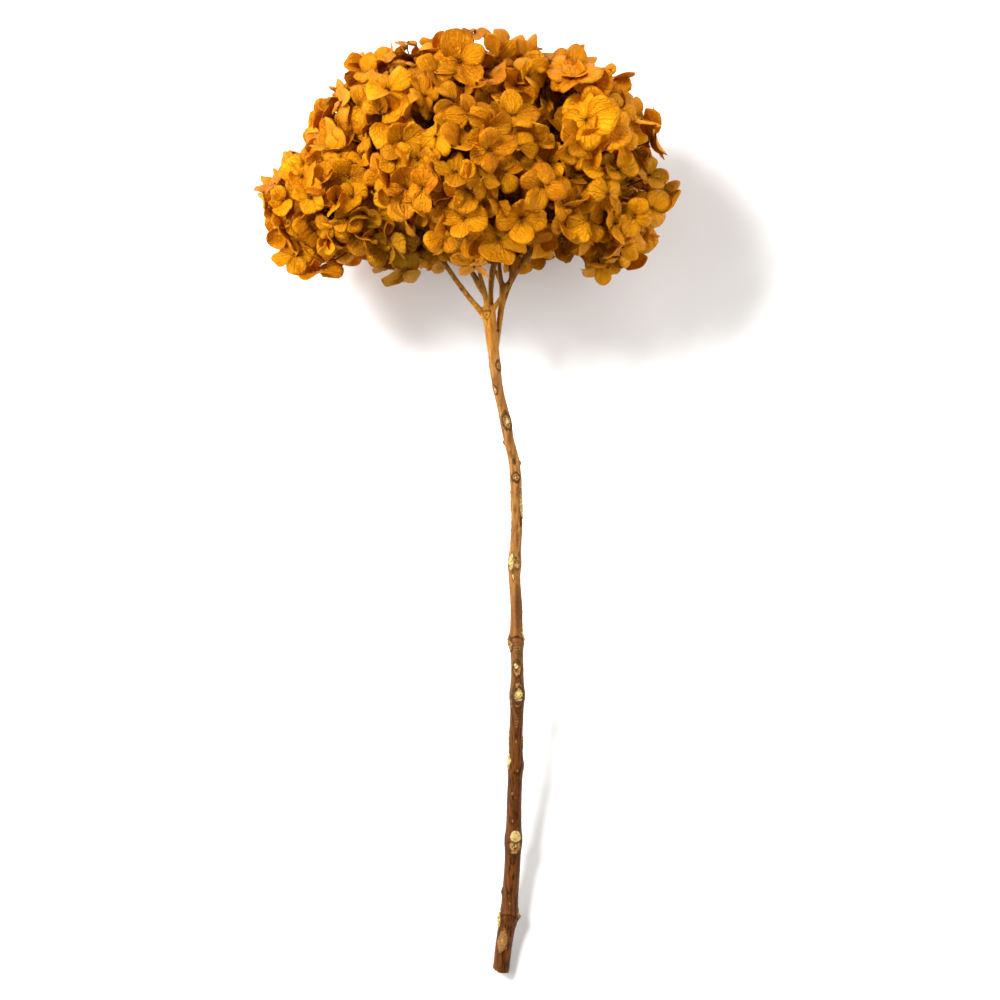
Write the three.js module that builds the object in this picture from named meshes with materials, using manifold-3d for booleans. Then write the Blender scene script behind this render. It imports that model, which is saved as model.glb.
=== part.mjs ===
// A cut hydrangea stem, dyed and dried: one woody stem with its forked top, carrying one broad mophead
// of four-sepalled florets. It lies on its back on the plane z = 0, on the cut end and on the pressed
// back of the head.
//
// Millimetres. The plant is built in its own frame: x across the stem, y along it from the cut end to the
// head, z out of its front. A group then leans that frame and sets it down.
import * as THREE from 'three';
import { mergeVertices } from 'three/addons/utils/BufferGeometryUtils.js';
import Module from 'manifold-3d';

const wasm = await Module();
wasm.setup();

// How it lies: the head is deep, so the stem rises towards it by this angle.
const LEAN = THREE.MathUtils.degToRad(10);
const STEM_FOOT_HEIGHT = 4.1; // from the table up to the plant frame's origin, at the cut end
const CENTRE_ACROSS = -4.6; // the middle of the plant's width, in the plant frame
const CENTRE_ALONG = 266.5; // the middle of its length on the table, from the cut end
const PRESS_SOFTNESS = 3; // how gently the table presses back the florets that would come through it

// The main stem, from the cut end to the fork: [across, along, forward, radius].
const STEM_ROUTE = [
  [18.2, 0, 0.4, 4.7],
  [19.2, 15, 0, 4.8],
  [21.4, 32, -0.4, 4.9],
  [22.4, 44, -0.4, 4.7],
  [23.4, 61, 0.2, 4.6],
  [24.2, 76, 1, 4.6],
  [24.6, 95, 2, 4.3],
  [25.3, 118, 3, 4.1],
  [25.6, 136, 3.2, 3.9],
  [26.4, 158, 2.6, 3.9],
  [26.2, 176, 1.6, 3.6],
  [25.8, 190, 0.6, 3.7],
  [25.8, 210, -0.8, 3.4],
  [24.8, 226, -1.8, 3.4],
  [24.9, 236, -2, 3.4],
  [25.9, 250, -1.6, 3.3],
  [26, 264, -0.6, 3.3],
  [25.6, 280, 0.8, 3.1],
  [24.3, 292, 1.8, 3.2],
  [21.6, 303, 2, 3],
  [19.6, 314, 1.8, 3],
  [16.6, 327, 1.2, 2.95],
  [14.6, 338, 0.8, 3],
  [13.3, 349, 0.4, 3.2],
  [12, 360, 0, 3.5],
  [10.4, 374, 0, 3.9],
  [9.9, 380, 0, 3.1],
];
const STEM_SIDES = 10;
const STEM_STEP = 8; // between the rings of the stem

// The joints of the stem where a pair of leaves grew: how far along, how much thicker, and which way the
// pair faced, as the angle in degrees about the stem from its front.
const NODES = [
  { along: 31, swell: 0.9, facing: 80 },
  { along: 75, swell: 0.7, facing: 6 },
  { along: 118, swell: 0.6, facing: 86 },
  { along: 158, swell: 0.8, facing: 4 },
  { along: 189, swell: 0.9, facing: 96 },
  { along: 233, swell: 0.7, facing: -34 },
  { along: 281, swell: 0.4, facing: 8 },
  { along: 313, swell: 0.4, facing: 14 },
  { along: 345, swell: 0.3, facing: 52 },
];
const NODE_SPREAD = 5; // how far along the stem a joint's swelling fades
// A leaf scar's raised shield: half its width and length, and how far it stands out.
const SCAR = { wide: 2.5, tall: 4.2, proud: 0.75, sides: 6, rows: 4 };

// The branches of the forked top, each from inside the stem or an older branch up into the head.
const BRANCHES = {
  left: [
    [9.2, 371.5, 0, 2.3], [4.6, 377.6, 1.5, 1.9], [0.4, 382.4, 3, 1.75], [-7.2, 392, 6, 1.7],
    [-15.6, 403.8, 10, 1.6], [-26, 417, 14, 1.5], [-36, 430, 16, 1.3],
  ],
  front_left: [
    [9, 372, 1, 2.2], [9, 381, 3.4, 1.95], [7.4, 385.4, 4.8, 1.3], [4.2, 390, 6.5, 1.25],
    [-0.4, 399, 11, 1.2], [-8, 414, 18, 1.1], [-12, 430, 22, 1],
  ],
  front_right: [
    [9, 380, 3, 1.8], [8, 387, 4, 1.5], [5.2, 397, 5, 1.4], [4, 412, 8, 1.2], [2, 430, 10, 1.1],
  ],
  middle: [
    [10, 370, -1, 2.6], [11.2, 380.4, -1.5, 1.8], [11.2, 388, -2, 1.7], [12.2, 399.6, -2.8, 1.9],
    [15, 411, -3.5, 1.5], [17.4, 430, -4, 1.4],
  ],
  right: [
    [10.6, 374, 0.5, 2], [14.8, 380.9, 1.4, 1.5], [20, 388.7, 2.6, 1.4], [23.5, 395.7, 3.6, 1.3],
    [27.2, 400.4, 5, 1.1], [36, 412, 9, 1.1], [44, 434, 12, 1],
  ],
  low: [
    [12.6, 350, -1, 2.6], [14.6, 360, -3.5, 2], [16, 369.5, -5, 1.85], [17.2, 380, -6, 1.85],
    [17.7, 389.5, -6.4, 1.7], [16, 404.5, -7, 1.2], [16, 430, -9, 1.1],
  ],
  low_left: [
    [17.6, 389, -6.4, 1.5], [16.7, 393, -6.8, 1.2], [13.9, 399.6, -8.5, 1.1], [8, 414, -13, 1.1],
    [0, 430, -18, 1],
  ],
  low_right: [
    [17.8, 386, -6.2, 1.7], [20.4, 391.4, -5.4, 1.6], [22.8, 395.6, -4.6, 1.5], [22.6, 404, -4, 1.5],
    [21.2, 416, -3, 1.4], [22, 430, -2, 1.2],
  ],
  back_left: [
    [9.5, 371, -2, 1.9], [9.5, 380, -8, 1.6], [6, 392, -17, 1.4], [-6, 409, -26, 1.3],
    [-26, 434, -32, 1.2],
  ],
  back_right: [
    [16.4, 371, -6, 1.7], [18, 380, -10, 1.5], [22, 392, -17, 1.4], [30, 408, -24, 1.3],
    [42, 438, -30, 1.2],
  ],
};
const BRANCH_SIDES = 6;
const BRANCH_STEPS = 6;

// The head: overlapping lobes, one for each cluster of florets. Florets stand on their outer skin.
const LOBES = {
  left: { at: [-76, 434, 6], half: [37, 35, 44] },
  left_shoulder: { at: [-62, 456, 0], half: [40, 34, 48] },
  upper_left: { at: [-40, 478, 8], half: [40, 40, 50] },
  top: { at: [-6, 488, 0], half: [52, 42, 58] },
  upper_right: { at: [52, 476, 6], half: [46, 44, 54] },
  right: { at: [66, 435, 8], half: [40, 36, 48] },
  front: { at: [-4, 450, 36], half: [54, 44, 48] },
  lower_left: { at: [-36, 428, 14], half: [34, 24, 40] },
  back_left: { at: [-34, 456, -34], half: [56, 48, 44] },
  back_right: { at: [40, 456, -34], half: [52, 46, 44] },
};
const HEAD_CENTRE = new THREE.Vector3(0, 444, 0);
// The cone round the branches where no floret stands.
const UNDERSIDE = { toward: new THREE.Vector3(14, -50, 0).normalize(), halfAngle: 44 };
// The dense middle of the head, which the florets' stalks grow from.
const CORE = { at: new THREE.Vector3(-2, 458, 0), half: [78, 38, 56], sides: 14, rows: 9 };

const FLORET = {
  seed: 7317,
  seedStep: 7919, // between the seeds of two florets
  count: 92,
  choices: 1500, // random places on the skin to choose from
  radial: 0.35, // how far a floret turns from the skin's own direction to straight out of the head
  reach: 20.5, // centre to sepal tip
  reachSpread: 0.12, // the most that a floret is larger or smaller, as a share
  tilt: 26, // degrees, the most that one leans off that direction
  thick: 0.9,
  sepals: 4,
};
// A sepal, as shares of the floret's reach, with angles in radians from its midrib.
const SEPAL = {
  notch: 0.46, // centre to the notch between two sepals
  length: [0.86, 1.06], // shortest and longest
  lift: [-0.12, 0.3], // of the tip
  shoulder: 0.86, // of its own length, centre to its widest point
  shoulderTurn: 0.56,
  shoulderLift: 0.7, // of the tip's lift
  cup: 0.08,
  twist: 0.07,
};
const STALK = { root: 2, tip: 1.3, sunk: 4 };
const TRIM_GAP = 0.35; // between the florets and the bark that they would touch

const MATERIALS = {
  bark: new THREE.MeshStandardMaterial({ color: 0xa9713a, roughness: 0.75, metalness: 0 }),
  sepals: new THREE.MeshStandardMaterial({ color: 0xc97f14, roughness: 0.6, metalness: 0 }),
};

const TABLE_NORMAL = new THREE.Vector3(0, Math.sin(LEAN), Math.cos(LEAN)); // in the plant frame
const TAU = 2 * Math.PI;

// A repeatable stream of numbers between two limits: a linear congruential generator.
function stream(seed) {
  const range = 2 ** 32;
  let state = seed;
  return (low, high) => {
    state = (1664525 * state + 1013904223) % range;
    return low + ((high - low) * state) / range;
  };
}

function geometryOf(points, triangles) {
  const positions = new Float32Array(points.flatMap((p) => [p.x, p.y, p.z]));
  return new THREE.BufferGeometry()
    .setAttribute('position', new THREE.BufferAttribute(positions, 3))
    .setIndex(triangles);
}

function solidOf(geometry) {
  const bare = geometry.clone();
  bare.deleteAttribute('normal');
  bare.deleteAttribute('uv');
  const merged = mergeVertices(bare);
  return new wasm.Manifold(
    new wasm.Mesh({
      numProp: 3,
      vertProperties: merged.attributes.position.array,
      triVerts: new Uint32Array(merged.index.array),
    }),
  );
}

function geometryOfSolid(solid) {
  const mesh = solid.getMesh();
  return new THREE.BufferGeometry()
    .setAttribute('position', new THREE.BufferAttribute(new Float32Array(mesh.vertProperties), 3))
    .setIndex(new THREE.BufferAttribute(new Uint32Array(mesh.triVerts), 1));
}

// A round tapering rod along a curve. radiusAt gives the radius at a share of the way along.
function rod(curve, steps, sides, radiusAt) {
  const points = [];
  const triangles = [];
  const front = new THREE.Vector3(0, 0, 1);
  for (let i = 0; i <= steps; i++) {
    const share = i / steps;
    const centre = curve.getPoint(share);
    const along = curve.getTangent(share);
    const across = new THREE.Vector3().crossVectors(along, front).normalize();
    const out = new THREE.Vector3().crossVectors(across, along);
    const radius = radiusAt(share);
    for (let k = 0; k < sides; k++) {
      const turn = (TAU * k) / sides;
      const onRim = centre.clone().addScaledVector(across, radius * Math.cos(turn));
      points.push(onRim.addScaledVector(out, radius * Math.sin(turn)));
    }
  }
  const ends = [curve.getPoint(0), curve.getPoint(1)];
  points.push(...ends);
  const [first, last] = [points.length - 2, points.length - 1];
  for (let k = 0; k < sides; k++) {
    const next = (k + 1) % sides;
    for (let i = 0; i < steps; i++) {
      const [a, b] = [i * sides + k, i * sides + next];
      triangles.push(a, a + sides, b, b, a + sides, b + sides);
    }
    triangles.push(first, k, next);
    triangles.push(last, steps * sides + next, steps * sides + k);
  }
  return geometryOf(points, triangles);
}

function curveOf(route) {
  const points = route.map(([x, y, z]) => new THREE.Vector3(x, y, z));
  return new THREE.CatmullRomCurve3(points, false, 'centripetal');
}

// The radius along a route, straight between its points.
function radiusOf(route) {
  return (share) => {
    const place = share * (route.length - 1);
    const i = Math.min(Math.floor(place), route.length - 2);
    return THREE.MathUtils.lerp(route[i][3], route[i + 1][3], place - i);
  };
}

// The stem's axis and bare radius at a distance along it.
function stemAt(along) {
  const i = Math.max(1, STEM_ROUTE.findIndex((p) => p[1] >= along));
  const [a, b] = [STEM_ROUTE[i - 1], STEM_ROUTE[i]];
  const t = (along - a[1]) / (b[1] - a[1]);
  return a.map((v, k) => THREE.MathUtils.lerp(v, b[k], t));
}

function swellAt(along) {
  return NODES.reduce((sum, n) => sum + n.swell * Math.exp(-(((along - n.along) / NODE_SPREAD) ** 2)), 0);
}

// A leaf scar: a low domed boss on the stem, its long axis along the stem.
function scar(along, facing, gap) {
  const [x, , z, bare] = stemAt(along);
  const shape = new THREE.SphereGeometry(1, SCAR.sides, SCAR.rows);
  shape.scale(SCAR.wide + gap, SCAR.tall + gap, 2 * SCAR.proud + gap);
  shape.translate(0, 0, bare + swellAt(along) - SCAR.proud);
  shape.rotateY(THREE.MathUtils.degToRad(facing));
  shape.translate(x, along, z);
  return solidOf(shape);
}

// The whole woody body, each of its surfaces moved out by gap.
function wood(gap) {
  const curve = curveOf(STEM_ROUTE);
  const bare = radiusOf(STEM_ROUTE);
  const steps = Math.round(curve.getLength() / STEM_STEP);
  const grown = (share) => bare(share) + gap + swellAt(curve.getPoint(share).y);
  const parts = [solidOf(rod(curve, steps, STEM_SIDES, grown))];
  for (const route of Object.values(BRANCHES)) {
    const radius = radiusOf(route);
    parts.push(solidOf(rod(curveOf(route), BRANCH_STEPS, BRANCH_SIDES, (share) => radius(share) + gap)));
  }
  for (const { along, facing } of NODES) {
    parts.push(scar(along, facing, gap), scar(along, facing + 180, gap));
  }
  return wasm.Manifold.union(parts);
}

// How far the lobed skin lies from the head's centre in a direction, with its outward normal there.
function skinAt(direction) {
  let best = { far: 0, normal: direction };
  for (const { at, half } of Object.values(LOBES)) {
    const from = HEAD_CENTRE.clone().sub(new THREE.Vector3(...at)).toArray();
    const d = direction.toArray();
    const a = d.reduce((sum, v, k) => sum + (v / half[k]) ** 2, 0);
    const b = d.reduce((sum, v, k) => sum + (v * from[k]) / half[k] ** 2, 0);
    const c = from.reduce((sum, v, k) => sum + (v / half[k]) ** 2, 0) - 1;
    const inside = b * b - a * c;
    if (inside <= 0) continue;
    const far = (-b + Math.sqrt(inside)) / a;
    if (far > best.far) {
      const normal = new THREE.Vector3(...d.map((v, k) => (from[k] + v * far) / half[k] ** 2)).normalize();
      best = { far, normal };
    }
  }
  return best;
}

// Where each floret stands. Of many random places on the skin, each floret takes the one that lies
// furthest from the florets before it, so they spread evenly and leave no bare patch.
function floretPlaces() {
  const draw = stream(FLORET.seed);
  const open = Math.cos(THREE.MathUtils.degToRad(UNDERSIDE.halfAngle));
  const free = [];
  while (free.length < FLORET.choices) {
    const rise = draw(1, -1);
    const turn = draw(0, TAU);
    const flat = Math.sqrt(1 - rise * rise);
    const direction = new THREE.Vector3(flat * Math.cos(turn), rise, flat * Math.sin(turn));
    if (direction.dot(UNDERSIDE.toward) > open) continue;
    const skin = skinAt(direction);
    const at = HEAD_CENTRE.clone().addScaledVector(direction, skin.far);
    const normal = skin.normal.lerp(direction, FLORET.radial).normalize();
    free.push({ at, normal, gap: Infinity });
  }
  const places = [];
  let next = free[0];
  while (places.length < FLORET.count) {
    places.push(next);
    for (const place of free) place.gap = Math.min(place.gap, place.at.distanceTo(next.at));
    next = free.reduce((best, place) => (place.gap > best.gap ? place : best));
  }
  return places;
}

// Moves a point that the table would press, along the table's normal, until it lies just above the table.
function pressed(point) {
  const height = point.dot(TABLE_NORMAL) + STEM_FOOT_HEIGHT;
  const kept = PRESS_SOFTNESS * Math.log1p(Math.exp(height / PRESS_SOFTNESS));
  return point.clone().addScaledVector(TABLE_NORMAL, kept - height);
}

// Three directions at right angles: any two across a normal, and a facing that leans off it.
function leaningFrame(normal, lean, leanTo, spin) {
  const reference = Math.abs(normal.y) < 0.9 ? new THREE.Vector3(0, 1, 0) : new THREE.Vector3(1, 0, 0);
  const side = reference.cross(normal).normalize();
  const ahead = new THREE.Vector3().crossVectors(normal, side);
  const facing = normal
    .clone()
    .multiplyScalar(Math.cos(lean))
    .addScaledVector(side, Math.sin(lean) * Math.cos(leanTo))
    .addScaledVector(ahead, Math.sin(lean) * Math.sin(leanTo));
  const u = new THREE.Vector3().crossVectors(facing, side).normalize().applyAxisAngle(facing, spin);
  const v = new THREE.Vector3().crossVectors(facing, u);
  return { u, v, facing };
}

// One floret on its stalk: a plate with four sepals, each folded along its midrib, and a four-sided stalk
// from under its middle. Round a sepal's edge are the notch beside it, a shoulder, the tip and the other
// shoulder. Each sepal has its own length, lift and twist.
function floret({ at, normal }, index) {
  const draw = stream(FLORET.seed + FLORET.seedStep * (index + 1));
  const lean = THREE.MathUtils.degToRad(FLORET.tilt) * Math.sqrt(draw(0, 1));
  const { u, v, facing } = leaningFrame(normal, lean, draw(0, TAU), draw(0, TAU));
  const size = FLORET.reach * draw(1 - FLORET.reachSpread, 1 + FLORET.reachSpread);
  const round = (centre, radius, turn) =>
    centre.clone().addScaledVector(u, radius * Math.cos(turn)).addScaledVector(v, radius * Math.sin(turn));
  const place = (reach, turn, lift) =>
    pressed(round(at, size * reach, turn).addScaledVector(facing, size * lift));
  const points = [place(0, 0, 0)];
  const corner = TAU / FLORET.sepals;
  for (let s = 0; s < FLORET.sepals; s++) {
    const turn = corner * s;
    const long = draw(...SEPAL.length);
    const lift = draw(...SEPAL.lift);
    const twist = draw(-SEPAL.twist, SEPAL.twist);
    const shoulderLift = lift * SEPAL.shoulderLift + SEPAL.cup;
    points.push(
      place(SEPAL.notch, turn - corner / 2, 0),
      place(SEPAL.shoulder * long, turn - SEPAL.shoulderTurn, shoulderLift - twist),
      place(long, turn, lift),
      place(SEPAL.shoulder * long, turn + SEPAL.shoulderTurn, shoulderLift + twist),
    );
  }
  const count = points.length;
  const under = facing.clone().multiplyScalar(-FLORET.thick);
  points.push(...points.map((p) => p.clone().add(under)));
  const collar = points.length;
  const foot = stalkFoot(points[0]);
  const corners = [...Array(FLORET.sepals).keys()].map((s) => corner * (s - 0.5));
  points.push(...corners.map((turn) => round(points[count], STALK.tip, turn)));
  points.push(...corners.map((turn) => round(foot, STALK.root, turn)));
  const triangles = [];
  for (let s = 0; s < FLORET.sepals; s++) {
    const next = (s + 1) % FLORET.sepals;
    const notch = 1 + 4 * s;
    const [left, tip, right, after] = [notch + 1, notch + 2, notch + 3, 1 + 4 * next];
    const [near, far] = [collar + s, collar + next];
    triangles.push([0, notch, left], [0, left, tip], [0, tip, right], [0, right, after]);
    const below = (k) => k + count;
    triangles.push([near, below(left), below(notch)], [near, below(tip), below(left)]);
    triangles.push([far, below(right), below(tip)], [far, below(after), below(right)]);
    triangles.push([near, far, below(tip)]);
    for (const [p, q] of [[notch, left], [left, tip], [tip, right], [right, after]]) {
      triangles.push([p, below(p), below(q)], [p, below(q), q]);
    }
    const [rootNear, rootFar] = [near + FLORET.sepals, far + FLORET.sepals];
    triangles.push([near, rootNear, rootFar], [near, rootFar, far]);
  }
  const root = collar + FLORET.sepals;
  triangles.push([root, root + 3, root + 2], [root, root + 2, root + 1]);
  return solidOf(geometryOf(points, triangles.flat()));
}

// Where a floret's stalk ends, sunk in the core below the middle of the floret.
function stalkFoot(top) {
  const out = top.clone().sub(CORE.at);
  const skin = 1 / Math.sqrt(out.toArray().reduce((sum, v, k) => sum + (v / CORE.half[k]) ** 2, 0));
  return CORE.at.clone().addScaledVector(out, skin - STALK.sunk / out.length());
}

function core() {
  const shape = new THREE.SphereGeometry(1, CORE.sides, CORE.rows);
  shape.scale(...CORE.half);
  shape.translate(...CORE.at.toArray());
  return solidOf(shape);
}

// The florets, their stalks and the core as one body, with room left for the branches. Scraps that the
// branches cut loose are dropped.
function mophead() {
  const whole = wasm.Manifold.union([core(), ...floretPlaces().map(floret)]).subtract(wood(TRIM_GAP));
  return whole.decompose().sort((a, b) => b.volume() - a.volume())[0];
}

const plant = new THREE.Group();
const stem = new THREE.Mesh(geometryOfSolid(wood(0)), MATERIALS.bark);
stem.name = 'woody_stem';
const head = new THREE.Mesh(geometryOfSolid(mophead()), MATERIALS.sepals);
head.name = 'flower_head';
plant.add(stem, head);
plant.rotation.x = LEAN;
plant.position.set(-CENTRE_ACROSS, -CENTRE_ALONG, STEM_FOOT_HEIGHT);

const lying = new THREE.Group();
lying.add(plant);

export default lying;
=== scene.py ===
import math

import bpy
import numpy as np
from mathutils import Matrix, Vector


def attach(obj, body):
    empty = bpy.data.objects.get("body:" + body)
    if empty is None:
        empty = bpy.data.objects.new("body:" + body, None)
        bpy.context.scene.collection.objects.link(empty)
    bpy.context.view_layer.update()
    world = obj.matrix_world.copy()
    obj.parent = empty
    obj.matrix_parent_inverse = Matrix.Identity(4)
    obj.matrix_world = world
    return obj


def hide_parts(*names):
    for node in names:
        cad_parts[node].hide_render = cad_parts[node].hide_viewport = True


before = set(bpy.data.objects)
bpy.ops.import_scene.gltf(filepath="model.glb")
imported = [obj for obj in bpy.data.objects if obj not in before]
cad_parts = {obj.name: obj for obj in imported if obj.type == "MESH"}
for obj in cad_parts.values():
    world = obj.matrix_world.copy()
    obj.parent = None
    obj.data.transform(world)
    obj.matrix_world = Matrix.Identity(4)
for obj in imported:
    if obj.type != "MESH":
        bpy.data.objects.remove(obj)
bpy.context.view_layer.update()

MM = 0.001
TAU = 2 * math.pi

# How the plant lies, as in the solid model.
LEAN = math.radians(10)
STEM_FOOT_HEIGHT = 4.1
CENTRE_ACROSS = -4.6
CENTRE_ALONG = 266.5
TABLE_NORMAL = np.array((0, math.sin(LEAN), math.cos(LEAN)))

# The main stem, from the cut end to the fork: (across, along, forward, radius).
STEM_ROUTE = [
    (16.8, 0, 0.4, 4.7), (18.7, 15, 0, 4.8), (21.4, 32, -0.4, 4.9), (22.4, 44, -0.4, 4.7),
    (23.4, 61, 0.2, 4.6), (24.2, 76, 1, 4.6), (24.6, 95, 2, 4.3), (25.3, 118, 3, 4.1),
    (25.6, 136, 3.2, 3.9), (26.4, 158, 2.6, 3.9), (26.2, 176, 1.6, 3.6), (25.8, 190, 0.6, 3.7),
    (25.8, 210, -0.8, 3.4), (24.8, 226, -1.8, 3.4), (24.9, 236, -2, 3.4), (25.9, 250, -1.6, 3.3),
    (26, 264, -0.6, 3.3), (25.6, 280, 0.8, 3.1), (24.3, 292, 1.8, 3.2), (21.6, 303, 2, 3),
    (19.6, 314, 1.8, 3), (16.6, 327, 1.2, 2.95), (14.6, 338, 0.8, 3), (13.3, 349, 0.4, 3.2),
    (12, 360, 0, 3.5), (10.4, 374, 0, 3.9), (9.9, 380, 0, 3.1),
]

# The branches of the forked top, each from inside the stem or an older branch up into the head.
BRANCHES = {
    "left": [
        (9.2, 371.5, 0, 2.3), (4.6, 377.6, 1.5, 1.9), (0.4, 382.4, 3, 1.75), (-7.2, 392, 6, 1.7),
        (-15.6, 403.8, 10, 1.6), (-26, 417, 14, 1.5), (-36, 430, 16, 1.3),
    ],
    "front_left": [
        (9, 372, 1, 2.2), (9, 381, 3.4, 1.95), (7.4, 385.4, 4.8, 1.3), (4.2, 390, 6.5, 1.25),
        (-0.4, 399, 11, 1.2), (-8, 414, 18, 1.1), (-12, 430, 22, 1),
    ],
    "front_right": [
        (9, 380, 3, 1.8), (8, 387, 4, 1.5), (5.2, 397, 5, 1.4), (4, 412, 8, 1.2), (2, 430, 10, 1.1),
    ],
    "middle": [
        (10, 370, -1, 2.6), (11.2, 380.4, -1.5, 1.8), (11.2, 388, -2, 1.7), (12.2, 399.6, -2.8, 1.9),
        (15, 411, -3.5, 1.5), (17.4, 430, -4, 1.4),
    ],
    "right": [
        (10.6, 374, 0.5, 2), (14.8, 380.9, 1.4, 1.5), (20, 388.7, 2.6, 1.4), (23.5, 395.7, 3.6, 1.3),
        (27.2, 400.4, 5, 1.1), (36, 412, 9, 1.1), (44, 434, 12, 1),
    ],
    "low": [
        (12.6, 350, -1, 2.6), (14.6, 360, -3.5, 2), (16, 369.5, -5, 1.85), (17.2, 380, -6, 1.85),
        (17.7, 389.5, -6.4, 1.7), (16, 404.5, -7, 1.2), (16, 430, -9, 1.1),
    ],
    "low_left": [
        (17.6, 389, -6.4, 1.5), (16.7, 393, -6.8, 1.2), (13.9, 399.6, -8.5, 1.1), (8, 414, -13, 1.1),
        (0, 430, -18, 1),
    ],
    "low_right": [
        (17.8, 386, -6.2, 1.7), (20.4, 391.4, -5.4, 1.6), (22.8, 395.6, -4.6, 1.5), (22.6, 404, -4, 1.5),
        (21.2, 416, -3, 1.4), (22, 430, -2, 1.2),
    ],
    "back_left": [
        (9.5, 371, -2, 1.9), (9.5, 380, -8, 1.6), (6, 392, -17, 1.4), (-6, 409, -26, 1.3),
        (-26, 434, -32, 1.2),
    ],
    "back_right": [
        (16.4, 371, -6, 1.7), (18, 380, -10, 1.5), (22, 392, -17, 1.4), (30, 408, -24, 1.3),
        (42, 438, -30, 1.2),
    ],
}

# The wood's mesh: steps along and sides round the rods of the stem and the branches, and the voxels that
# join them, in mm. Then it is smoothed in rounds, more about the fork, which starts and ends along here.
STEM_STEPS = 360
STEM_SIDES = 40
BRANCH_STEPS = 60
BRANCH_SIDES = 20
WOOD_VOXEL = 0.52
SMOOTHING_ROUNDS = 14
SMOOTHING = 0.12
FORK_SMOOTHING = 0.4
FORK_STARTS = (340, 352)
FORK_ENDS = (396, 404)
# Up to this joint the wood is years older and darker.
OLD_WOOD_TOP = 189
# The left side of the cut end slants up by about this much for each millimetre across it.
CUT_SLANT = 0.5

# The stem's joints, where a pair of leaves grew: how far along, how much thicker, which way the pair
# faced, in degrees about the stem from its front towards the right, and how plain the line round it is.
NODES = [
    (31, 0.9, 80, 1), (75, 0.7, 6, 0.2), (118, 0.6, 86, 0), (158, 0.8, 4, 0), (189, 0.9, 96, 0.9),
    (233, 0.7, -34, 0), (281, 0.4, 8, 0.1), (313, 0.4, 14, 0.2), (345, 0.3, 52, 0.2),
]
NODE_SPREAD = 5

# What marks the bark. Each place is (along, facing, half its width, half its length).
# Scars of leaves, stubs and torn bark: place, then how pale the bared wood is, how strong the dark rim
# round it is, and how torn it is.
SCARS = [
    (345.4, 42, 1.9, 2.8, 0.12, 1, 0), (331.7, -50, 1.7, 2.6, 0.3, 1, 0),
    (313.6, 17, 2.7, 4.6, 0.45, 1, 0.3), (281.9, 2, 2.4, 2.6, 0.25, 1, 0.6),
    (233.8, -30, 2.2, 5, 1, 0.3, 0.8), (225.6, -12, 0.9, 3.2, 0.7, 0.4, 1),
    (231.6, 22, 1.9, 2.9, 0.6, 0.5, 1), (172.8, 0, 2.9, 4.8, 0.17, 0.8, 0.7),
    (174.6, -10, 1.5, 2.6, 1, 1, 0.8), (158.4, 9, 3.2, 9.4, 0.18, 0.9, 0.8), (158, 10, 2.8, 5, 1, 1, 0.8),
    (120.8, -66, 2, 6, 1, 0.2, 1), (72.2, 13, 4.1, 5.4, 0.3, 0.9, 0.6),
    (29.6, -70, 2.2, 6.6, 0.9, 0.2, 1), (18.2, -18, 3.3, 7.4, 0.15, 0, 0.8),
    (266, 62, 1.9, 11.5, 0.95, 0.2, 1), (256.5, 46, 0.9, 2.6, 0, 1, 1),
    (268.5, -80, 1.2, 5.6, 0.9, 0.2, 1), (193, 72, 1.7, 6, 1, 0.2, 1), (187, -62, 2.2, 4.2, 0.17, 0.8, 1),
    (134.5, -78, 1, 5.6, 0.7, 0.2, 1), (254, -78, 0.8, 3, 0.7, 0, 1), (131, 82, 0.9, 4, 0.6, 0.2, 1),
    (33, 78, 1.6, 4, 0.4, 0.5, 1), (313, 196, 2.2, 3.4, 0.5, 1, 0.2), (281, 184, 1.9, 2.4, 0.3, 1, 0.4),
    (233, 152, 2, 3.6, 0.6, 0.8, 0.4), (157, 190, 2.8, 5, 0.7, 0.7, 0.6),
    (118, 122, 2.3, 3.8, 0.6, 0.6, 0.6), (75, 186, 2.9, 4.2, 0.7, 0.6, 0.5),
    (345, 226, 1.5, 2.6, 0.2, 1, 0), (189, 272, 1.7, 2.8, 0.5, 0.4, 0.8),
    (31, 160, 2.6, 4, 0.5, 0.6, 0.8), (206, 118, 0.8, 7, 0.7, 0, 1), (98, 206, 1, 10, 0.8, 0, 1),
    (55, 148, 1, 9, 0.7, 0, 1),
]
# Side shoots cut off flush, which leave a smooth pale disc of rings.
STUBS = [(77.9, 13, 3, 3.6)]
DARK_PATCHES = [
    (92, 14, 2.6, 11), (26, -36, 1.4, 2.8), (118, 84, 1.5, 4), (150, 214, 1.6, 7), (58, 232, 1.6, 8),
    (181, 20, 1.8, 3.6), (208, 26, 3.2, 17), (258, 40, 1, 3.4), (293, 6, 1.6, 2), (100, -60, 1.4, 7),
    (65, 13, 3, 1.7), (191.2, 4, 2.2, 0.9), (238, 40, 1.2, 2.4), (150, 60, 1.4, 6), (62, 52, 1.6, 12),
]
BUDS = [
    (318.6, 15, 1.4, 2.1), (290.7, -3, 1.4, 2.1), (301.5, -88, 1.2, 1.8), (290.2, 88, 1.3, 1.9),
    (46, -72, 0.9, 3.4), (286, 186, 1.2, 1.6), (238, 150, 1.1, 1.6), (163, 188, 1.1, 1.4),
    (31.5, 88, 2, 2.6), (236, 6, 0.9, 1),
]
# Rows of short pale ridges across the bark, and how far apart the ridges are.
RIDGES = [
    (184, 4, 2.2, 3.4), (143.4, 2, 1.2, 4), (45, -72, 1.3, 5), (268, -82, 1.4, 8), (205, 200, 2.6, 3),
    (165.8, -4, 1.2, 1.2),
]
RIDGE_STEP = 1.5
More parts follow.
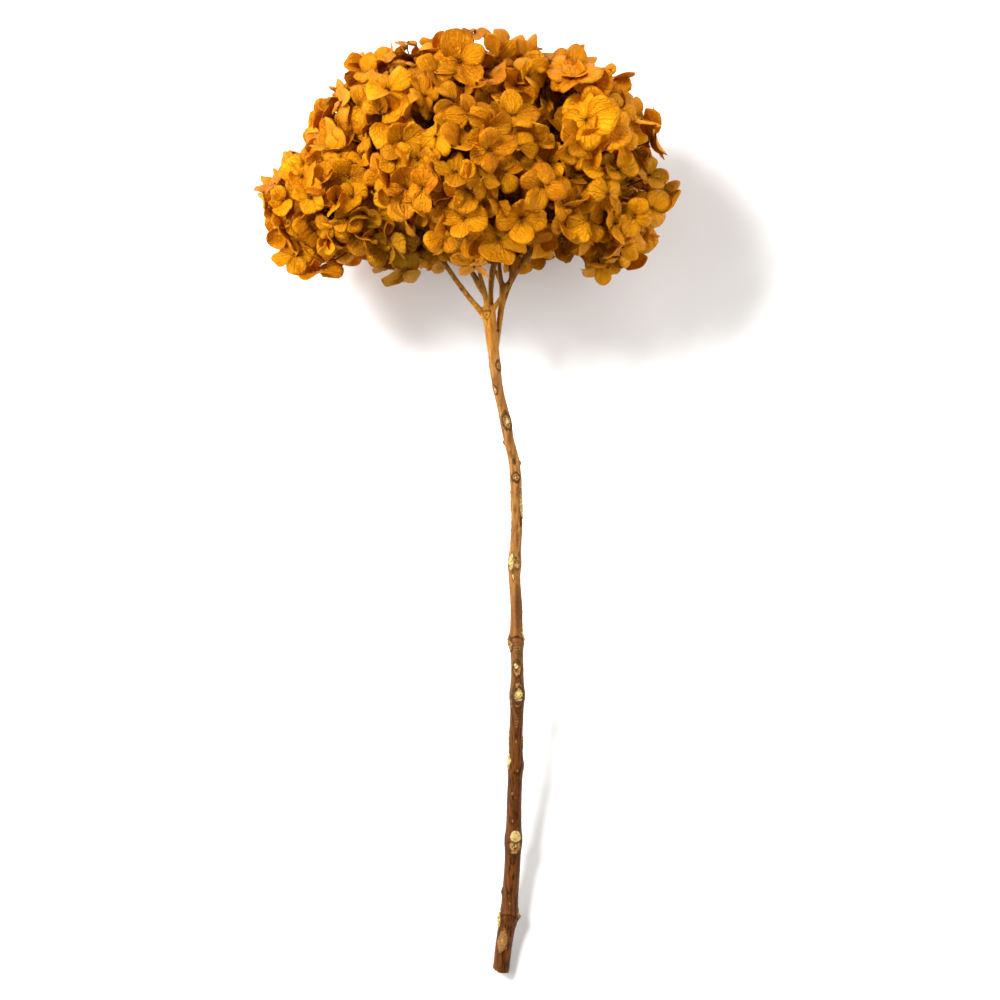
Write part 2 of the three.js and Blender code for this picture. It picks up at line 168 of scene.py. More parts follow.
# Dark knots and the bract's scar on the branches, as points on their front: (across, along, radius).
BRANCH_KNOTS = [(-5.9, 388.7, 1.3), (21.5, 392.2, 1.1), (15.4, 365.6, 1.2), (8.9, 374.4, 0.8)]
BRACT_SCAR = {"at": (8.9, 371.4), "half_wide": 2.6, "rise": 5.2, "line": 0.65}

# The head: overlapping lobes whose outer skin the florets stand on: (middle, half sizes).
LOBES = {
    "left": ((-76, 434, 6), (37, 35, 44)),
    "left_shoulder": ((-62, 456, 0), (40, 34, 48)),
    "upper_left": ((-40, 478, 8), (40, 40, 50)),
    "top": ((-6, 488, 0), (52, 42, 58)),
    "upper_right": ((52, 476, 6), (46, 44, 54)),
    "right": ((66, 435, 8), (40, 36, 48)),
    "front": ((-4, 450, 36), (54, 44, 48)),
    "lower_left": ((-36, 428, 14), (34, 24, 40)),
    "back_left": ((-34, 456, -34), (56, 48, 44)),
    "back_right": ((40, 456, -34), (52, 46, 44)),
}
HEAD_CENTRE = np.array((0.0, 444.0, 0.0))
UNDERSIDE_TOWARD = np.array((14.0, -50.0, 0.0)) / math.hypot(14, 50)
UNDERSIDE_HALF_ANGLE = math.radians(44)

# How far the head's edge, seen from the front, stands out past its lobes: every 12 degrees round from
# the left by way of the foot, in mm.
EDGE = (
    7.4, -4, -12, -12.7, -9, 3, -22, -3, 2, 9, -8, 0, -13, 1.5, -6,
    -3, 7, 0.2, -6, -1, -4, 11.8, -11.4, -3.8, -4.9, 0, 1, 0.5, 1.5, -16,
)
# Notches in the head's lower edge, the first one open to the fork: (across, along), how far off it the
# florets' middles keep, and how far back it reaches.
NOTCHES = [
    ((21, 402), 22, 0), ((-68, 394), 24, -60), ((53, 403), 20, -60), ((-21, 390), 25, -60),
    ((112, 412), 22, -60),
]
# Hollows between its lobes, dark with the florets deeper in: (across, along), and how far off it the
# middles of the outer florets keep. All of them reach equally far back.
HOLLOWS = [
    ((-21, 480), 12), ((12, 428), 16), ((-30, 415), 16), ((43, 490), 18), ((46, 478), 18), ((90, 441), 14),
    ((27, 437), 13), ((-48, 425), 12), ((-8, 500), 12), ((-28, 468), 10),
]
HOLLOW_BACK = 0
# Florets that stand clear of the rest: (across, along, forward), the way they face, reach and spin.
STRAYS = [
    ((108.5, 441, 14), (-0.3, 0.6, 0.74), 14, -0.98), ((-88.3, 397.5, 16), (0.05, 0.93, 0.36), 17.5, 0.05),
    ((-37, 398, 26), (0.48, -0.64, 0.6), 13, 0.9), ((2, 534, 6), (0.1, 0.8, 0.5), 9, 0.3),
    ((-36, 528, 4), (0.2, 0.8, 0.5), 8, 0.4), ((-56, 514, 12), (-0.25, 0.35, 0.9), 15, 0.6),
    ((-99, 407, 20), (-0.1, 0.45, 0.85), 13, 0.3),
]

# The florets. The first ones take the solid model's places, where they are larger, and the others fill in.
# Here they then move for the head's edge, its notches and its hollows.
FLORET_SEED = 7317
FLORET_SEED_STEP = 7919
FLORET_CHOICES = 1500
MORE_CHOICES = 3500
# The florets stand closer on some lobes.
CROWDING = {"left": 1.12, "left_shoulder": 1.12, "upper_left": 1.08}
# Places on a steep side lie these drops under a lobe's edge, and still this far above the lowest skin
# within this angle of it.
SIDE_DROPS = (6, 12, 18, 24, 30, 36, 42)
SIDE_MARGIN = 3
SIDE_STEP = math.radians(7)
# Florets face off the skin, turned by this share towards straight out of the head, and lean up to this far.
RADIAL = 0.35
TILT = math.radians(26)
# The florets of the front turn towards the light there, by this share.
TURN_TO_FRONT = 0.35
SOLID_COUNT = 92
# The others among the outer florets stand up to this much deeper.
FILL_DEPTH = (0, 8)
OUTER_COUNT = 400
INNER_COUNT = 234
INNER_DEPTH = (9, 26)
# In these dense clusters they lie shallower, by this share.
DENSE = ("left", "left_shoulder")
DENSE_DEPTH = 0.55
# In the others they are painted darker, as shade deep in the head, by this share.
INNER_PAINTED_SHADE = 0.6
# A floret's sepals, how far they reach from its middle in mm, and by what share of it that varies. Here
# the sizes vary more than the solid model's, by the last one too.
SEPALS = 4
REACH = 13.2
REACH_SPREAD = 0.12
FINER_SPREAD = (0.84, 1.18)
# How softly the floor presses the sepals of a floret and those of a stray, in mm.
PRESS = (2.4, 5.5)
STRAY_PRESS = 3
# How far the strays' sepals bend and cup, as a share of the others'.
STRAY_LOOSE = 0.3
# Each sepal's length as a share of the reach, and its lift and twist in radians.
SEPAL_LENGTH = (0.86, 1.06)
SEPAL_LIFT = (-0.12, 0.3)
SEPAL_TWIST = 0.07
# How thick a sepal is, and how far from the floret's middle it starts, in mm.
SEPAL_THICK = 0.24
SEPAL_BASE = 0.9
# What each sepal's length and each floret's crinkling are also multiplied by.
LENGTH_SPREAD = (0.82, 1.14)
CRINKLE_SPREAD = (0.7, 1.3)
# How far sepals are domed, below 0, or cupped, and the share of the sepals for each.
CUPS = (-0.4, -0.15, 0.25, 0.5, 0.95)
CUP_SHARES = (0.2, 0.2, 0.25, 0.24, 0.11)
# The steps of a sepal's mesh from its base to its margin and across it.
FINE_GRID = (6, 12)
BACK_GRID = (5, 9)
PLAIN_GRID = (5, 8)
# How each cluster of florets looks: how crinkled, how brightly dyed, how olive, and how large. The
# brightness and the olive are partly the dye's own and partly painted shade: the lower left cluster,
# low under the head, is painted darkest and most olive.
LOBE_LOOKS = {
    "left": (1.2, 0.44, 0.0, 0.98), "left_shoulder": (1.0, 0.37, 0.0, 0.98),
    "upper_left": (1.1, 0.28, 0.02, 1.0), "top": (0.75, 0.2, 0.04, 1.04),
    "upper_right": (0.6, 0.38, 0.08, 1.08), "right": (0.75, 0.43, 0.14, 1.06),
    "front": (0.8, 0.36, 0.16, 1.06), "lower_left": (1.1, 0.04, 0.55, 1.0),
    "back_left": (1.1, 0.42, 0.08, 1.0), "back_right": (1.0, 0.42, 0.08, 1.0),
}
# Low on the head the dye is thinner, and the green under it shows. On its right rim the florets are
# painted brighter and more olive, as painted light on a rim that lies in shade. The numbers: from where to
# where along and across these take hold, and what they add to the brightness and the olive.
THIN_BELOW = (398, 424)
PAINTED_LIGHT_PAST = (84, 106)
THIN_DYE_AND_PAINTED_LIGHT_TINT = 0.22
THIN_DYE_AND_PAINTED_LIGHT_OLIVE = 0.22

# The florets' stalks meet at hubs, at this share of the way out to the florets and a little lower. From
# there branchlets run to the ends of the branches. Both have their steps, sides and radii in mm.
HUB_COUNT = 36
HUB_DEPTH = 0.58
HUB_DROP = (0, -6, 0)
STALK_STEPS = 7
STALK_SIDES = 5
STALK_RADII = (0.42, 0.62)
BRANCHLET_STEPS = 10
BRANCHLET_SIDES = 7
BRANCHLET_RADII = (1.05, 0.7)
BRANCHLET_PRESS = 3
# The eye in the middle of a floret: how far above its middle it starts, its length, sides and radius, and
# the shares of that radius along it.
EYE_START = 0.35
EYE_LENGTH = 2.0
EYE_SIDES = 6
EYE_RADIUS = 0.75
EYE_SHAPE = (0.7, 1, 1.05, 0.85, 0.5, 0.12)

# The camera stands straight out from the plant's front, so it looks down on it as it lies.
CAMERA_DISTANCE = 1650
CAMERA_AIM = (16.5, 269, 0)
FRAME_WIDTH = 570
SENSOR_WIDTH = 36

# The studio, in metres: a square floor, a white surround, and soft lights with their place, size and power.
FLOOR_HALF = 3.0
WORLD_STRENGTH = 0.32
LIT_POINT = (0, 0.12, 0.05)
LIGHTS = [
    ("key", (-1.0, 0.6, 1.6), 0.6, 56),
    ("fill", (1.3, -0.2, 1.6), 1.4, 11),
    ("left_strip", (-1.1, 0.1, 0.4), 0.6, 10),
    ("right_strip", (1.1, 0.3, 0.3), 0.5, 6),
    ("far_strip", (0.1, 1.3, 0.35), 0.5, 5),
]


def stream(seed):
    """A repeatable stream of numbers between two limits, the same as the solid model's."""
    state = seed

    def draw(low, high):
        nonlocal state
        state = (1664525 * state + 1013904223) % 2**32
        return low + (high - low) * state / 2**32

    return draw


def set_down(points):
    """Plant frame in millimetres to the floor's frame in metres."""
    across, along, forward = np.moveaxis(np.asarray(points, float), -1, 0)
    x = across - CENTRE_ACROSS
    y = along * math.cos(LEAN) - forward * math.sin(LEAN) - CENTRE_ALONG
    z = along * math.sin(LEAN) + forward * math.cos(LEAN) + STEM_FOOT_HEIGHT
    return np.stack((x, y, z), -1) * MM


def pressed(points, softness):
    """Points that the floor would press, moved along its normal until they lie just above it."""
    height = points @ TABLE_NORMAL + STEM_FOOT_HEIGHT
    kept = softness * np.logaddexp(0, height / softness)
    return points + (kept - height)[..., None] * TABLE_NORMAL


def unit(vectors):
    return vectors / np.linalg.norm(vectors, axis=-1, keepdims=True)


def step_between(low, high, values):
    """0 below low, 1 above high and a smooth step between."""
    share = np.clip((values - low) / (high - low), 0, 1)
    return share * share * (3 - 2 * share)


def smooth_route(route, steps):
    """Centres and radii at even shares of a route's centripetal Catmull-Rom curve."""
    knots = np.array([point[:3] for point in route], float)
    radii = np.array([point[3] for point in route], float)
    padded = np.vstack((2 * knots[0] - knots[1], knots, 2 * knots[-1] - knots[-2]))
    place = np.linspace(0, len(knots) - 1, steps + 1)
    first = np.minimum(place.astype(int), len(knots) - 2)
    t = (place - first)[:, None]
    p0, p1, p2, p3 = (padded[first + k] for k in range(4))
    pairs = ((p0, p1), (p1, p2), (p2, p3))
    gaps = [np.sqrt(np.linalg.norm(b - a, axis=1, keepdims=True)) for a, b in pairs]
    leave = ((p1 - p0) / gaps[0] - (p2 - p0) / (gaps[0] + gaps[1]) + (p2 - p1) / gaps[1]) * gaps[1]
    arrive = ((p2 - p1) / gaps[1] - (p3 - p1) / (gaps[1] + gaps[2]) + (p3 - p2) / gaps[2]) * gaps[1]
    centres = (
        (2 * t**3 - 3 * t**2 + 1) * p1
        + (t**3 - 2 * t**2 + t) * leave
        + (3 * t**2 - 2 * t**3) * p2
        + (t**3 - t**2) * arrive
    )
    return centres, np.interp(place, np.arange(len(radii)), radii)


def rod(centres, radii, sides):
    """Points and faces of a closed round rod along a line of centres."""
    along = unit(np.gradient(centres, axis=0))
    across = unit(np.cross(along, (0.02, 0.03, 1.0)))
    out = np.cross(across, along)
    turns = np.arange(sides) * TAU / sides
    rim = across[:, None] * np.cos(turns)[:, None] + out[:, None] * np.sin(turns)[:, None]
    rings = centres[:, None] + rim * np.asarray(radii)[:, None, None]
    points = np.vstack((rings.reshape(-1, 3), centres[:1], centres[-1:]))
    last_ring = (len(centres) - 1) * sides
    first_end = len(centres) * sides
    faces = []
    for k in range(sides):
        after = (k + 1) % sides
        for start in range(0, last_ring, sides):
            faces.append((start + k, start + sides + k, start + sides + after, start + after))
        faces.append((first_end, k, after))
        faces.append((first_end + 1, last_ring + after, last_ring + k))
    return points, faces


def joined(rods):
    """The points and faces of several rods, as those of one mesh."""
    points = []
    faces = []
    start = 0
    for rod_points, rod_faces in rods:
        points.append(rod_points)
        faces += [tuple(start + k for k in face) for face in rod_faces]
        start += len(rod_points)
    return np.vstack(points), faces


def mesh_of(name, points, faces):
    mesh = bpy.data.meshes.new(name)
    mesh.from_pydata(np.asarray(points), [], faces)
    mesh.shade_smooth()
    return mesh


def give(mesh, attributes):
    """Gives the points of a mesh a vector under each name."""
    for name, values in attributes.items():
        layer = mesh.attributes.new(name, "FLOAT_VECTOR", "POINT")
        layer.data.foreach_set("vector", values.astype(np.float32).ravel())


def placed(name, data):
    """A new object in the scene."""
    new = bpy.data.objects.new(name, data)
    bpy.context.scene.collection.objects.link(new)
    return new


def piece_of(name, mesh, material, node):
    """A piece of the plant, which rides on its one body and stands for the given solid."""
    piece = placed(name, mesh)
    mesh.materials.append(material)
    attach(piece, "root")
    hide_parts(node)


def colour(code):
    """An sRGB hex value as linear red, green, blue and alpha."""
    parts = [int(code[i : i + 2], 16) / 255 for i in (1, 3, 5)]
    return tuple(c / 12.92 if c <= 0.04045 else ((c + 0.055) / 1.055) ** 2.4 for c in parts) + (1.0,)


def add(tree, kind, inputs=None, **settings):
    """Adds a node with its settings and links.

    An input's key is its name or its number among the node's inputs in use. What goes in is a value, a
    socket, or a node for its first output in use.
    """
    node = tree.nodes.new(kind)
    for name, value in settings.items():
        setattr(node, name, value)
    used = [socket for socket in node.inputs if socket.enabled]
    for key, value in (inputs or {}).items():
        socket = used[key] if isinstance(key, int) else node.inputs[key]
        if isinstance(value, bpy.types.Node):
            value = next(output for output in value.outputs if output.enabled)
        if isinstance(value, bpy.types.NodeSocket):
            tree.links.new(value, socket)
        else:
            socket.default_value = value
    return node


def new_material(name):
    material = bpy.data.materials.new(name)
    material.use_nodes = True
    material.node_tree.nodes.clear()
    return material, material.node_tree


def place_in_mm(tree):
    """The place of each point of a piece, in millimetres."""
    place = add(tree, "ShaderNodeTexCoord").outputs["Object"]
    return add(tree, "ShaderNodeVectorMath", {0: place, "Scale": 1 / MM}, operation="SCALE")


def numbers_of(tree, name):
    """The three numbers that the points of a mesh carry under a name."""
    carried = add(tree, "ShaderNodeAttribute", attribute_name=name)
    return add(tree, "ShaderNodeSeparateXYZ", {0: carried.outputs["Vector"]}).outputs


def sepal_material():
    """Hydrangea sepal, preserved in glycerine and dyed amber.

    Papery, with the satin of dry skin on its wrinkles. Light glows through it, its veins fan from the base
    and join in a fine net, and its margin and small flecks dry browner. Its base, and the sepals of florets
    deep in the head, are painted darker brown as shade.
    """
    material, tree = new_material("preserved_sepal")
    sideways, outward, own = numbers_of(tree, "fan")
    tint, olive, under = numbers_of(tree, "tone")
    crinkle, brown, painted_shade = numbers_of(tree, "wear_and_shade")

    # The blade laid flat, in millimetres: about 14 long, fanning out by about 1 radian a side. Each sepal
    # has its own slice of the patterns.
    spread = add(tree, "ShaderNodeMath", {0: sideways, 1: outward}, operation="MULTIPLY")
    flat_x, flat_y, flat_z = (
        add(tree, "ShaderNodeMath", {0: share, 1: reach}, operation="MULTIPLY")
        for share, reach in ((spread, 14.0), (outward, 14.0), (own, 300.0))
    )
    flat = add(tree, "ShaderNodeCombineXYZ", {0: flat_x, 1: flat_y, 2: flat_z})
    wander = add(tree, "ShaderNodeTexNoise", {"Vector": flat, "Scale": 1 / 5.0, "Detail": 2.0})
    wandered = add(tree, "ShaderNodeMath", {0: wander, 1: 0.4, 2: sideways}, operation="MULTIPLY_ADD")
    veins = sepal_veins(tree, wandered, outward, flat_y, flat)

    # Wrinkles run out along the blade, about 0.9 mm apart.
    fold_x = add(tree, "ShaderNodeMath", {0: wandered, 1: 12.0}, operation="MULTIPLY")
    fold_y = add(tree, "ShaderNodeMath", {0: outward, 1: 3.0}, operation="MULTIPLY")
    folds = add(tree, "ShaderNodeCombineXYZ", {0: fold_x, 1: fold_y, 2: flat_z})
    wrinkles = add(tree, "ShaderNodeTexNoise", {"Vector": folds, "Scale": 0.6, "Detail": 3.0})

    # Dye takes unevenly, in blotches of 3 to 8 mm, in a grain of 0.8 mm and along the wrinkles, each sepal
    # at its own strength.
    blotch = add(
        tree, "ShaderNodeTexNoise", {"Vector": flat, "Scale": 1 / 5.0, "Detail": 4.0, "Roughness": 0.65}
    )
    grain = add(tree, "ShaderNodeTexNoise", {"Vector": flat, "Scale": 1 / 0.8, "Detail": 2.0})
    strength = tint
    for uneven, share in ((blotch, 1.1), (wrinkles, 0.4), (grain, 0.8)):
        strength = add(
            tree, "ShaderNodeMath", {0: uneven, 1: share, 2: strength}, operation="MULTIPLY_ADD"
        )
    strength = add(tree, "ShaderNodeMapRange", {"Value": strength, "From Min": 1.03, "From Max": 1.97})

    # The colours, each laid over those before it by its share: the weakest and the strongest dye, the
    # olive of the sepal's own green, both shares partly painted light and shade, the veins, what dried
    # brown together with painted shade, and the duller underside.
    dried = brown_and_painted_shade(tree, outward, brown, blotch, painted_shade, flat)
    vein_share = add(tree, "ShaderNodeMath", {0: veins, 1: 0.07}, operation="MULTIPLY")
    under_share = add(tree, "ShaderNodeMath", {0: under, 1: 0.35}, operation="MULTIPLY")
    face = colour("#b05709")
    for share, code in (
        (strength, "#feaa12"),
        (olive, "#9c780f"),
        (vein_share, "#8a4a07"),
        (dried, "#6d3606"),
        (under_share, "#a8741a"),
    ):
        face = add(tree, "ShaderNodeMix", {0: share, 1: face, 2: colour(code)}, data_type="RGBA")
    through = add(tree, "ShaderNodeMix", {0: 0.45, 1: face, 2: colour("#ffa810")}, data_type="RGBA")

    # Veins, wrinkles and crumples of 1.3 mm stand out of the skin, deeper where the floret dried more
    # crinkled.
    crumples = add(tree, "ShaderNodeTexNoise", {"Vector": flat, "Scale": 1 / 1.3, "Detail": 3.0})
    wrinkled, crumpled = (
        add(tree, "ShaderNodeMath", {0: height, 1: crinkle}, operation="MULTIPLY")
        for height in (wrinkles, crumples)
    )
    relief = add(tree, "ShaderNodeMath", {0: veins, 1: 0.6}, operation="MULTIPLY")
    for height, share in ((wrinkled, 2.7), (grain, 0.8), (crumpled, 5.0)):
        relief = add(tree, "ShaderNodeMath", {0: height, 1: share, 2: relief}, operation="MULTIPLY_ADD")
    bump = add(tree, "ShaderNodeBump", {"Height": relief, "Strength": 1.0, "Distance": 0.0004})
    add(tree, "ShaderNodeOutputMaterial", {"Surface": glowing_skin(tree, face, through, bump)})
    return material


def sepal_veins(tree, wandered, outward, flat_y, flat):
    """How strongly a vein runs here: the main veins, the finer ones between them, and their net."""
    # Both kinds are lines of even turn, about 0.3 mm wide all along.
    vein_lines = []
    for count, wide in ((4.5, 0.3), (9.5, 0.26)):
        turned = add(tree, "ShaderNodeMath", {0: wandered, 1: count}, operation="MULTIPLY")
        off_line = add(tree, "ShaderNodeMath", {0: turned, 1: 1.0}, operation="PINGPONG")
        off_mm = add(tree, "ShaderNodeMath", {0: off_line, 1: flat_y}, operation="MULTIPLY")
        off_mm = add(tree, "ShaderNodeMath", {0: off_mm, 1: 1 / count}, operation="MULTIPLY")
        line = add(
            tree,
            "ShaderNodeMapRange",
            {"Value": off_mm, "From Min": wide, "From Max": 0.04},
            interpolation_type="SMOOTHSTEP",
        )
        vein_lines.append(line)
    main_lines, finer_lines = vein_lines
    outer_half = add(tree, "ShaderNodeMapRange", {"Value": outward, "From Min": 0.25, "From Max": 0.55})
    finer_lines = add(tree, "ShaderNodeMath", {0: finer_lines, 1: outer_half}, operation="MULTIPLY")
    # The net between them has meshes of about 1.6 mm.
    net = add(
        tree, "ShaderNodeTexVoronoi", {"Vector": flat, "Scale": 1 / 1.6}, feature="DISTANCE_TO_EDGE"
    )
    net_lines = add(tree, "ShaderNodeMapRange", {"Value": net, "From Min": 0.18, "From Max": 0.02})
    veins = main_lines
    for lines, share in ((finer_lines, 0.75), (net_lines, 0.35)):
        veins = add(tree, "ShaderNodeMath", {0: lines, 1: share, 2: veins}, operation="MULTIPLY_ADD")
    return veins


def brown_and_painted_shade(tree, outward, brown, blotch, painted_shade, flat):
    """How brown it dried at the margin and in flecks of 0.5 mm, 3 mm apart, and painted shade: darker at
    the narrow base, and on the sepals of florets deep in the head.
    """
    edge = add(tree, "ShaderNodeMapRange", {"Value": outward, "From Min": 0.86, "From Max": 1.0})
    for share in (brown, blotch):
        edge = add(tree, "ShaderNodeMath", {0: edge, 1: share}, operation="MULTIPLY")
    # Painted shade: darker towards the narrow base, where the sepals meet in the floret's middle.
    base = add(
        tree, "ShaderNodeMapRange", {"Value": outward, "From Min": 0.34, "From Max": 0.0, "To Max": 0.5}
    )
    specks = add(tree, "ShaderNodeTexVoronoi", {"Vector": flat, "Scale": 1 / 3.0})
    flecks = add(
        tree, "ShaderNodeMapRange", {"Value": specks, "From Min": 0.14, "From Max": 0.06, "To Max": 0.6}
    )
    # Painted shade on the sepals of florets deep in the head, by their share.
    dried = painted_shade
    for share in (edge, base, flecks):
        dried = add(tree, "ShaderNodeMath", {0: dried, 1: share}, operation="MAXIMUM")
    return dried


def glowing_skin(tree, face, through, bump):
    """Papery skin with a satin on it, which lets some light glow through."""
    skin = add(
        tree,
        "ShaderNodeBsdfPrincipled",
        {
            "Base Color": face,
            "Roughness": 0.42,
            "IOR": 1.47,
            "Specular IOR Level": 0.25,
            "Specular Tint": colour("#ffb030"),
            "Normal": bump,
        },
    )
    # The satin of the dyed skin is amber too.
    satin = add(
        tree, "ShaderNodeBsdfAnisotropic", {"Color": colour("#ffae20"), "Roughness": 0.38, "Normal": bump}
    )
    satin_skin = add(tree, "ShaderNodeMixShader", {0: 0.2, 1: skin, 2: satin})
    glow = add(tree, "ShaderNodeBsdfTranslucent", {"Color": through, "Normal": bump})
    return add(tree, "ShaderNodeMixShader", {0: 0.27, 1: satin_skin, 2: glow})


def bark_material():
    """Hydrangea bark, dry and smooth on the young top and stringy on the old foot.

    Golden under the head, tan below it and umber at the foot, drawn out in fibres along the stem. It has
    dark-rimmed leaf scars that bare pale wood, small dark freckles and paler lenticels.
    """
    material, tree = new_material("dry_bark")
    pale, dark, age = numbers_of(tree, "marks")
    off, bared, rim = numbers_of(tree, "scars")
    place = place_in_mm(tree)

    # Most patterns are drawn out along the stem, by squeezing the place in that way.
    fibre_space, streak_space, lenticel_space, crack_space = (
        add(tree, "ShaderNodeMapping", {"Vector": place, "Scale": (1.0, squeeze, 1.0)})
        for squeeze in (0.03, 0.02, 0.5, 0.45)
    )
    # Fibres 1.2 mm apart and 40 mm long, in streaks 1.8 mm apart and 90 mm long, in clouds of 15 mm, and
    # crumbs of 1.4 mm.
    fibres, streaks, clouds, crumbs = (
        add(tree, "ShaderNodeTexNoise", {"Vector": space, "Scale": 1 / size, "Detail": detail})
        for space, size, detail in (
            (fibre_space, 1.2, 2.0),
            (streak_space, 1.8, 3.0),
            (place, 15.0, 4.0),
            (place, 1.4, 3.0),
        )
    )
    fibre_share = add(tree, "ShaderNodeMapRange", {"Value": fibres, "From Min": 0.36, "From Max": 0.64})
    streak_share = add(tree, "ShaderNodeMapRange", {"Value": streaks, "From Min": 0.35, "From Max": 0.65})
    fibre_dark = add(tree, "ShaderNodeMath", {0: fibre_share, 1: 0.44}, operation="MULTIPLY")

    # How far the bark has aged wanders along the streaks, so dark wood runs up into the paler in tongues.
    shift = add(tree, "ShaderNodeMath", {0: streaks, 1: clouds}, operation="ADD")
    shift = add(tree, "ShaderNodeMath", {0: shift, 1: 1.0}, operation="SUBTRACT")
    older = add(tree, "ShaderNodeMath", {0: shift, 1: 0.36, 2: age}, operation="MULTIPLY_ADD")
    to_young = add(tree, "ShaderNodeMapRange", {"Value": older, "From Min": 0.02, "From Max": 0.26})
    to_old = add(tree, "ShaderNodeMapRange", {"Value": older, "From Min": 0.38, "From Max": 0.85})

    # Freckles of 0.8 mm, 2 mm apart, and lenticels of 1 mm, 4 mm apart and twice as long.
    freckle_cells = add(tree, "ShaderNodeTexVoronoi", {"Vector": place, "Scale": 1 / 2.0})
    lenticel_cells = add(tree, "ShaderNodeTexVoronoi", {"Vector": lenticel_space, "Scale": 1 / 4.2})
    freckles, lenticels = (
        add(tree, "ShaderNodeMapRange", {"Value": cells, "From Min": out, "From Max": full, "To Max": most})
        for cells, out, full, most in (
            (freckle_cells, 0.22, 0.12, 0.75),
            (lenticel_cells, 0.14, 0.08, 0.35),
        )
    )

    torn_share, core, lines = scar_looks(tree, off, bared, rim, crumbs, crack_space)
    darkness = add(tree, "ShaderNodeMath", {0: lines, 1: dark}, operation="MAXIMUM")

    # Each kind of bark or wood goes from one tone to another, in streaks, fibres or crumbs.
    grain = add(tree, "ShaderNodeMapRange", {"Value": crumbs, "From Min": 0.42, "From Max": 0.72})
    fresh, young, old, tan, cream = (
        add(tree, "ShaderNodeMix", {0: share, 1: colour(low), 2: colour(high)}, data_type="RGBA")
        for share, low, high in (
            (streak_share, "#8f5818", "#c38629"),
            (streak_share, "#6c421f", "#ae7d43"),
            (fibre_share, "#270f05", "#5a2f14"),
            (crumbs, "#8a5826", "#cf9f5e"),
            (grain, "#d3bb78", "#986a2a"),
        )
    )
    torn = add(tree, "ShaderNodeMix", {0: core, 1: tan, 2: cream}, data_type="RGBA")
    # The colours, each laid over those before it by its share, from the fresh bark under the head to the
    # dark lines and patches on everything, whose share also holds painted shade on the branches under the
    # head.
    face = fresh
    for share, over in (
        (to_young, young),
        (to_old, old),
        (fibre_dark, colour("#6f3c14")),
        (freckles, colour("#4a2408")),
        (lenticels, colour("#c8965a")),
        (torn_share, torn),
        (pale, cream),
        (darkness, colour("#34180a")),
    ):
        face = add(tree, "ShaderNodeMix", {0: share, 1: face, 2: over}, data_type="RGBA")

    relief = add(tree, "ShaderNodeMath", {0: streaks, 1: 1.5, 2: fibres}, operation="MULTIPLY_ADD")
    torn_relief = add(tree, "ShaderNodeMath", {0: crumbs, 1: torn_share}, operation="MULTIPLY")
    relief = add(tree, "ShaderNodeMath", {0: torn_relief, 1: 2.0, 2: relief}, operation="MULTIPLY_ADD")
    bump = add(tree, "ShaderNodeBump", {"Height": relief, "Strength": 0.8, "Distance": 0.00035})
    bark = add(
        tree,
        "ShaderNodeBsdfPrincipled",
        {
            "Base Color": face,
            "Roughness": 0.55,
            "IOR": 1.5,
            "Specular IOR Level": 0.35,
            "Specular Tint": colour("#e0a560"),
            "Normal": bump,
        },
    )
    add(tree, "ShaderNodeOutputMaterial", {"Surface": bark})
    return material


def scar_looks(tree, off, bared, rim, crumbs, crack_space):
    """Where a scar is torn down to tan wood, where to cream wood, and how dark its lines are."""
    # A scar's edge is crumbly. Inside it the bark is torn down to tan, and to cream wood in its middle.
    uneven = add(tree, "ShaderNodeMath", {0: crumbs, 1: 0.5}, operation="SUBTRACT")
    edge = add(tree, "ShaderNodeMath", {0: uneven, 1: 0.7, 2: off}, operation="MULTIPLY_ADD")
    inside = add(tree, "ShaderNodeMapRange", {"Value": edge, "From Min": 1.0, "From Max": 0.88})
    core_depth = add(tree, "ShaderNodeMath", {0: bared, 1: edge}, operation="SUBTRACT")
    core = add(tree, "ShaderNodeMapRange", {"Value": core_depth, "From Min": -0.06, "From Max": 0.08})
    torn_share = add(tree, "ShaderNodeMapRange", {"Value": bared, "From Min": 0.1, "From Max": 0.2})
    torn_share = add(tree, "ShaderNodeMath", {0: torn_share, 1: inside}, operation="MULTIPLY")

    # Dark lines run round the scar and round its cream middle, and cracks through it, 1.6 mm apart.
    off_rim = add(tree, "ShaderNodeMath", {0: edge, 1: 1.0}, operation="SUBTRACT")
    lines = []
    for distance, wide in ((off_rim, 0.36), (core_depth, 0.18)):
        off_line = add(tree, "ShaderNodeMath", {0: distance}, operation="ABSOLUTE")
        line = add(
            tree, "ShaderNodeMapRange", {"Value": off_line, "From Min": wide, "From Max": wide / 2.5}
        )
        lines.append(add(tree, "ShaderNodeMath", {0: line, 1: rim}, operation="MULTIPLY"))
    rim_line, core_line = lines
    crack_cells = add(
        tree, "ShaderNodeTexVoronoi", {"Vector": crack_space, "Scale": 1 / 1.6}, feature="DISTANCE_TO_EDGE"
    )
    cracks = add(
        tree,
        "ShaderNodeMapRange",
        {"Value": crack_cells, "From Min": 0.12, "From Max": 0.03, "To Max": 0.55},
    )
    cracks = add(tree, "ShaderNodeMath", {0: cracks, 1: torn_share}, operation="MULTIPLY")
    darkness = add(tree, "ShaderNodeMath", {0: core_line, 1: 0.6, 2: rim_line}, operation="MULTIPLY_ADD")
    darkness = add(tree, "ShaderNodeMath", {0: darkness, 1: cracks}, operation="ADD")
    darkness = add(tree, "ShaderNodeMath", {0: darkness, 1: 0.85}, operation="MINIMUM")
    return torn_share, core, darkness


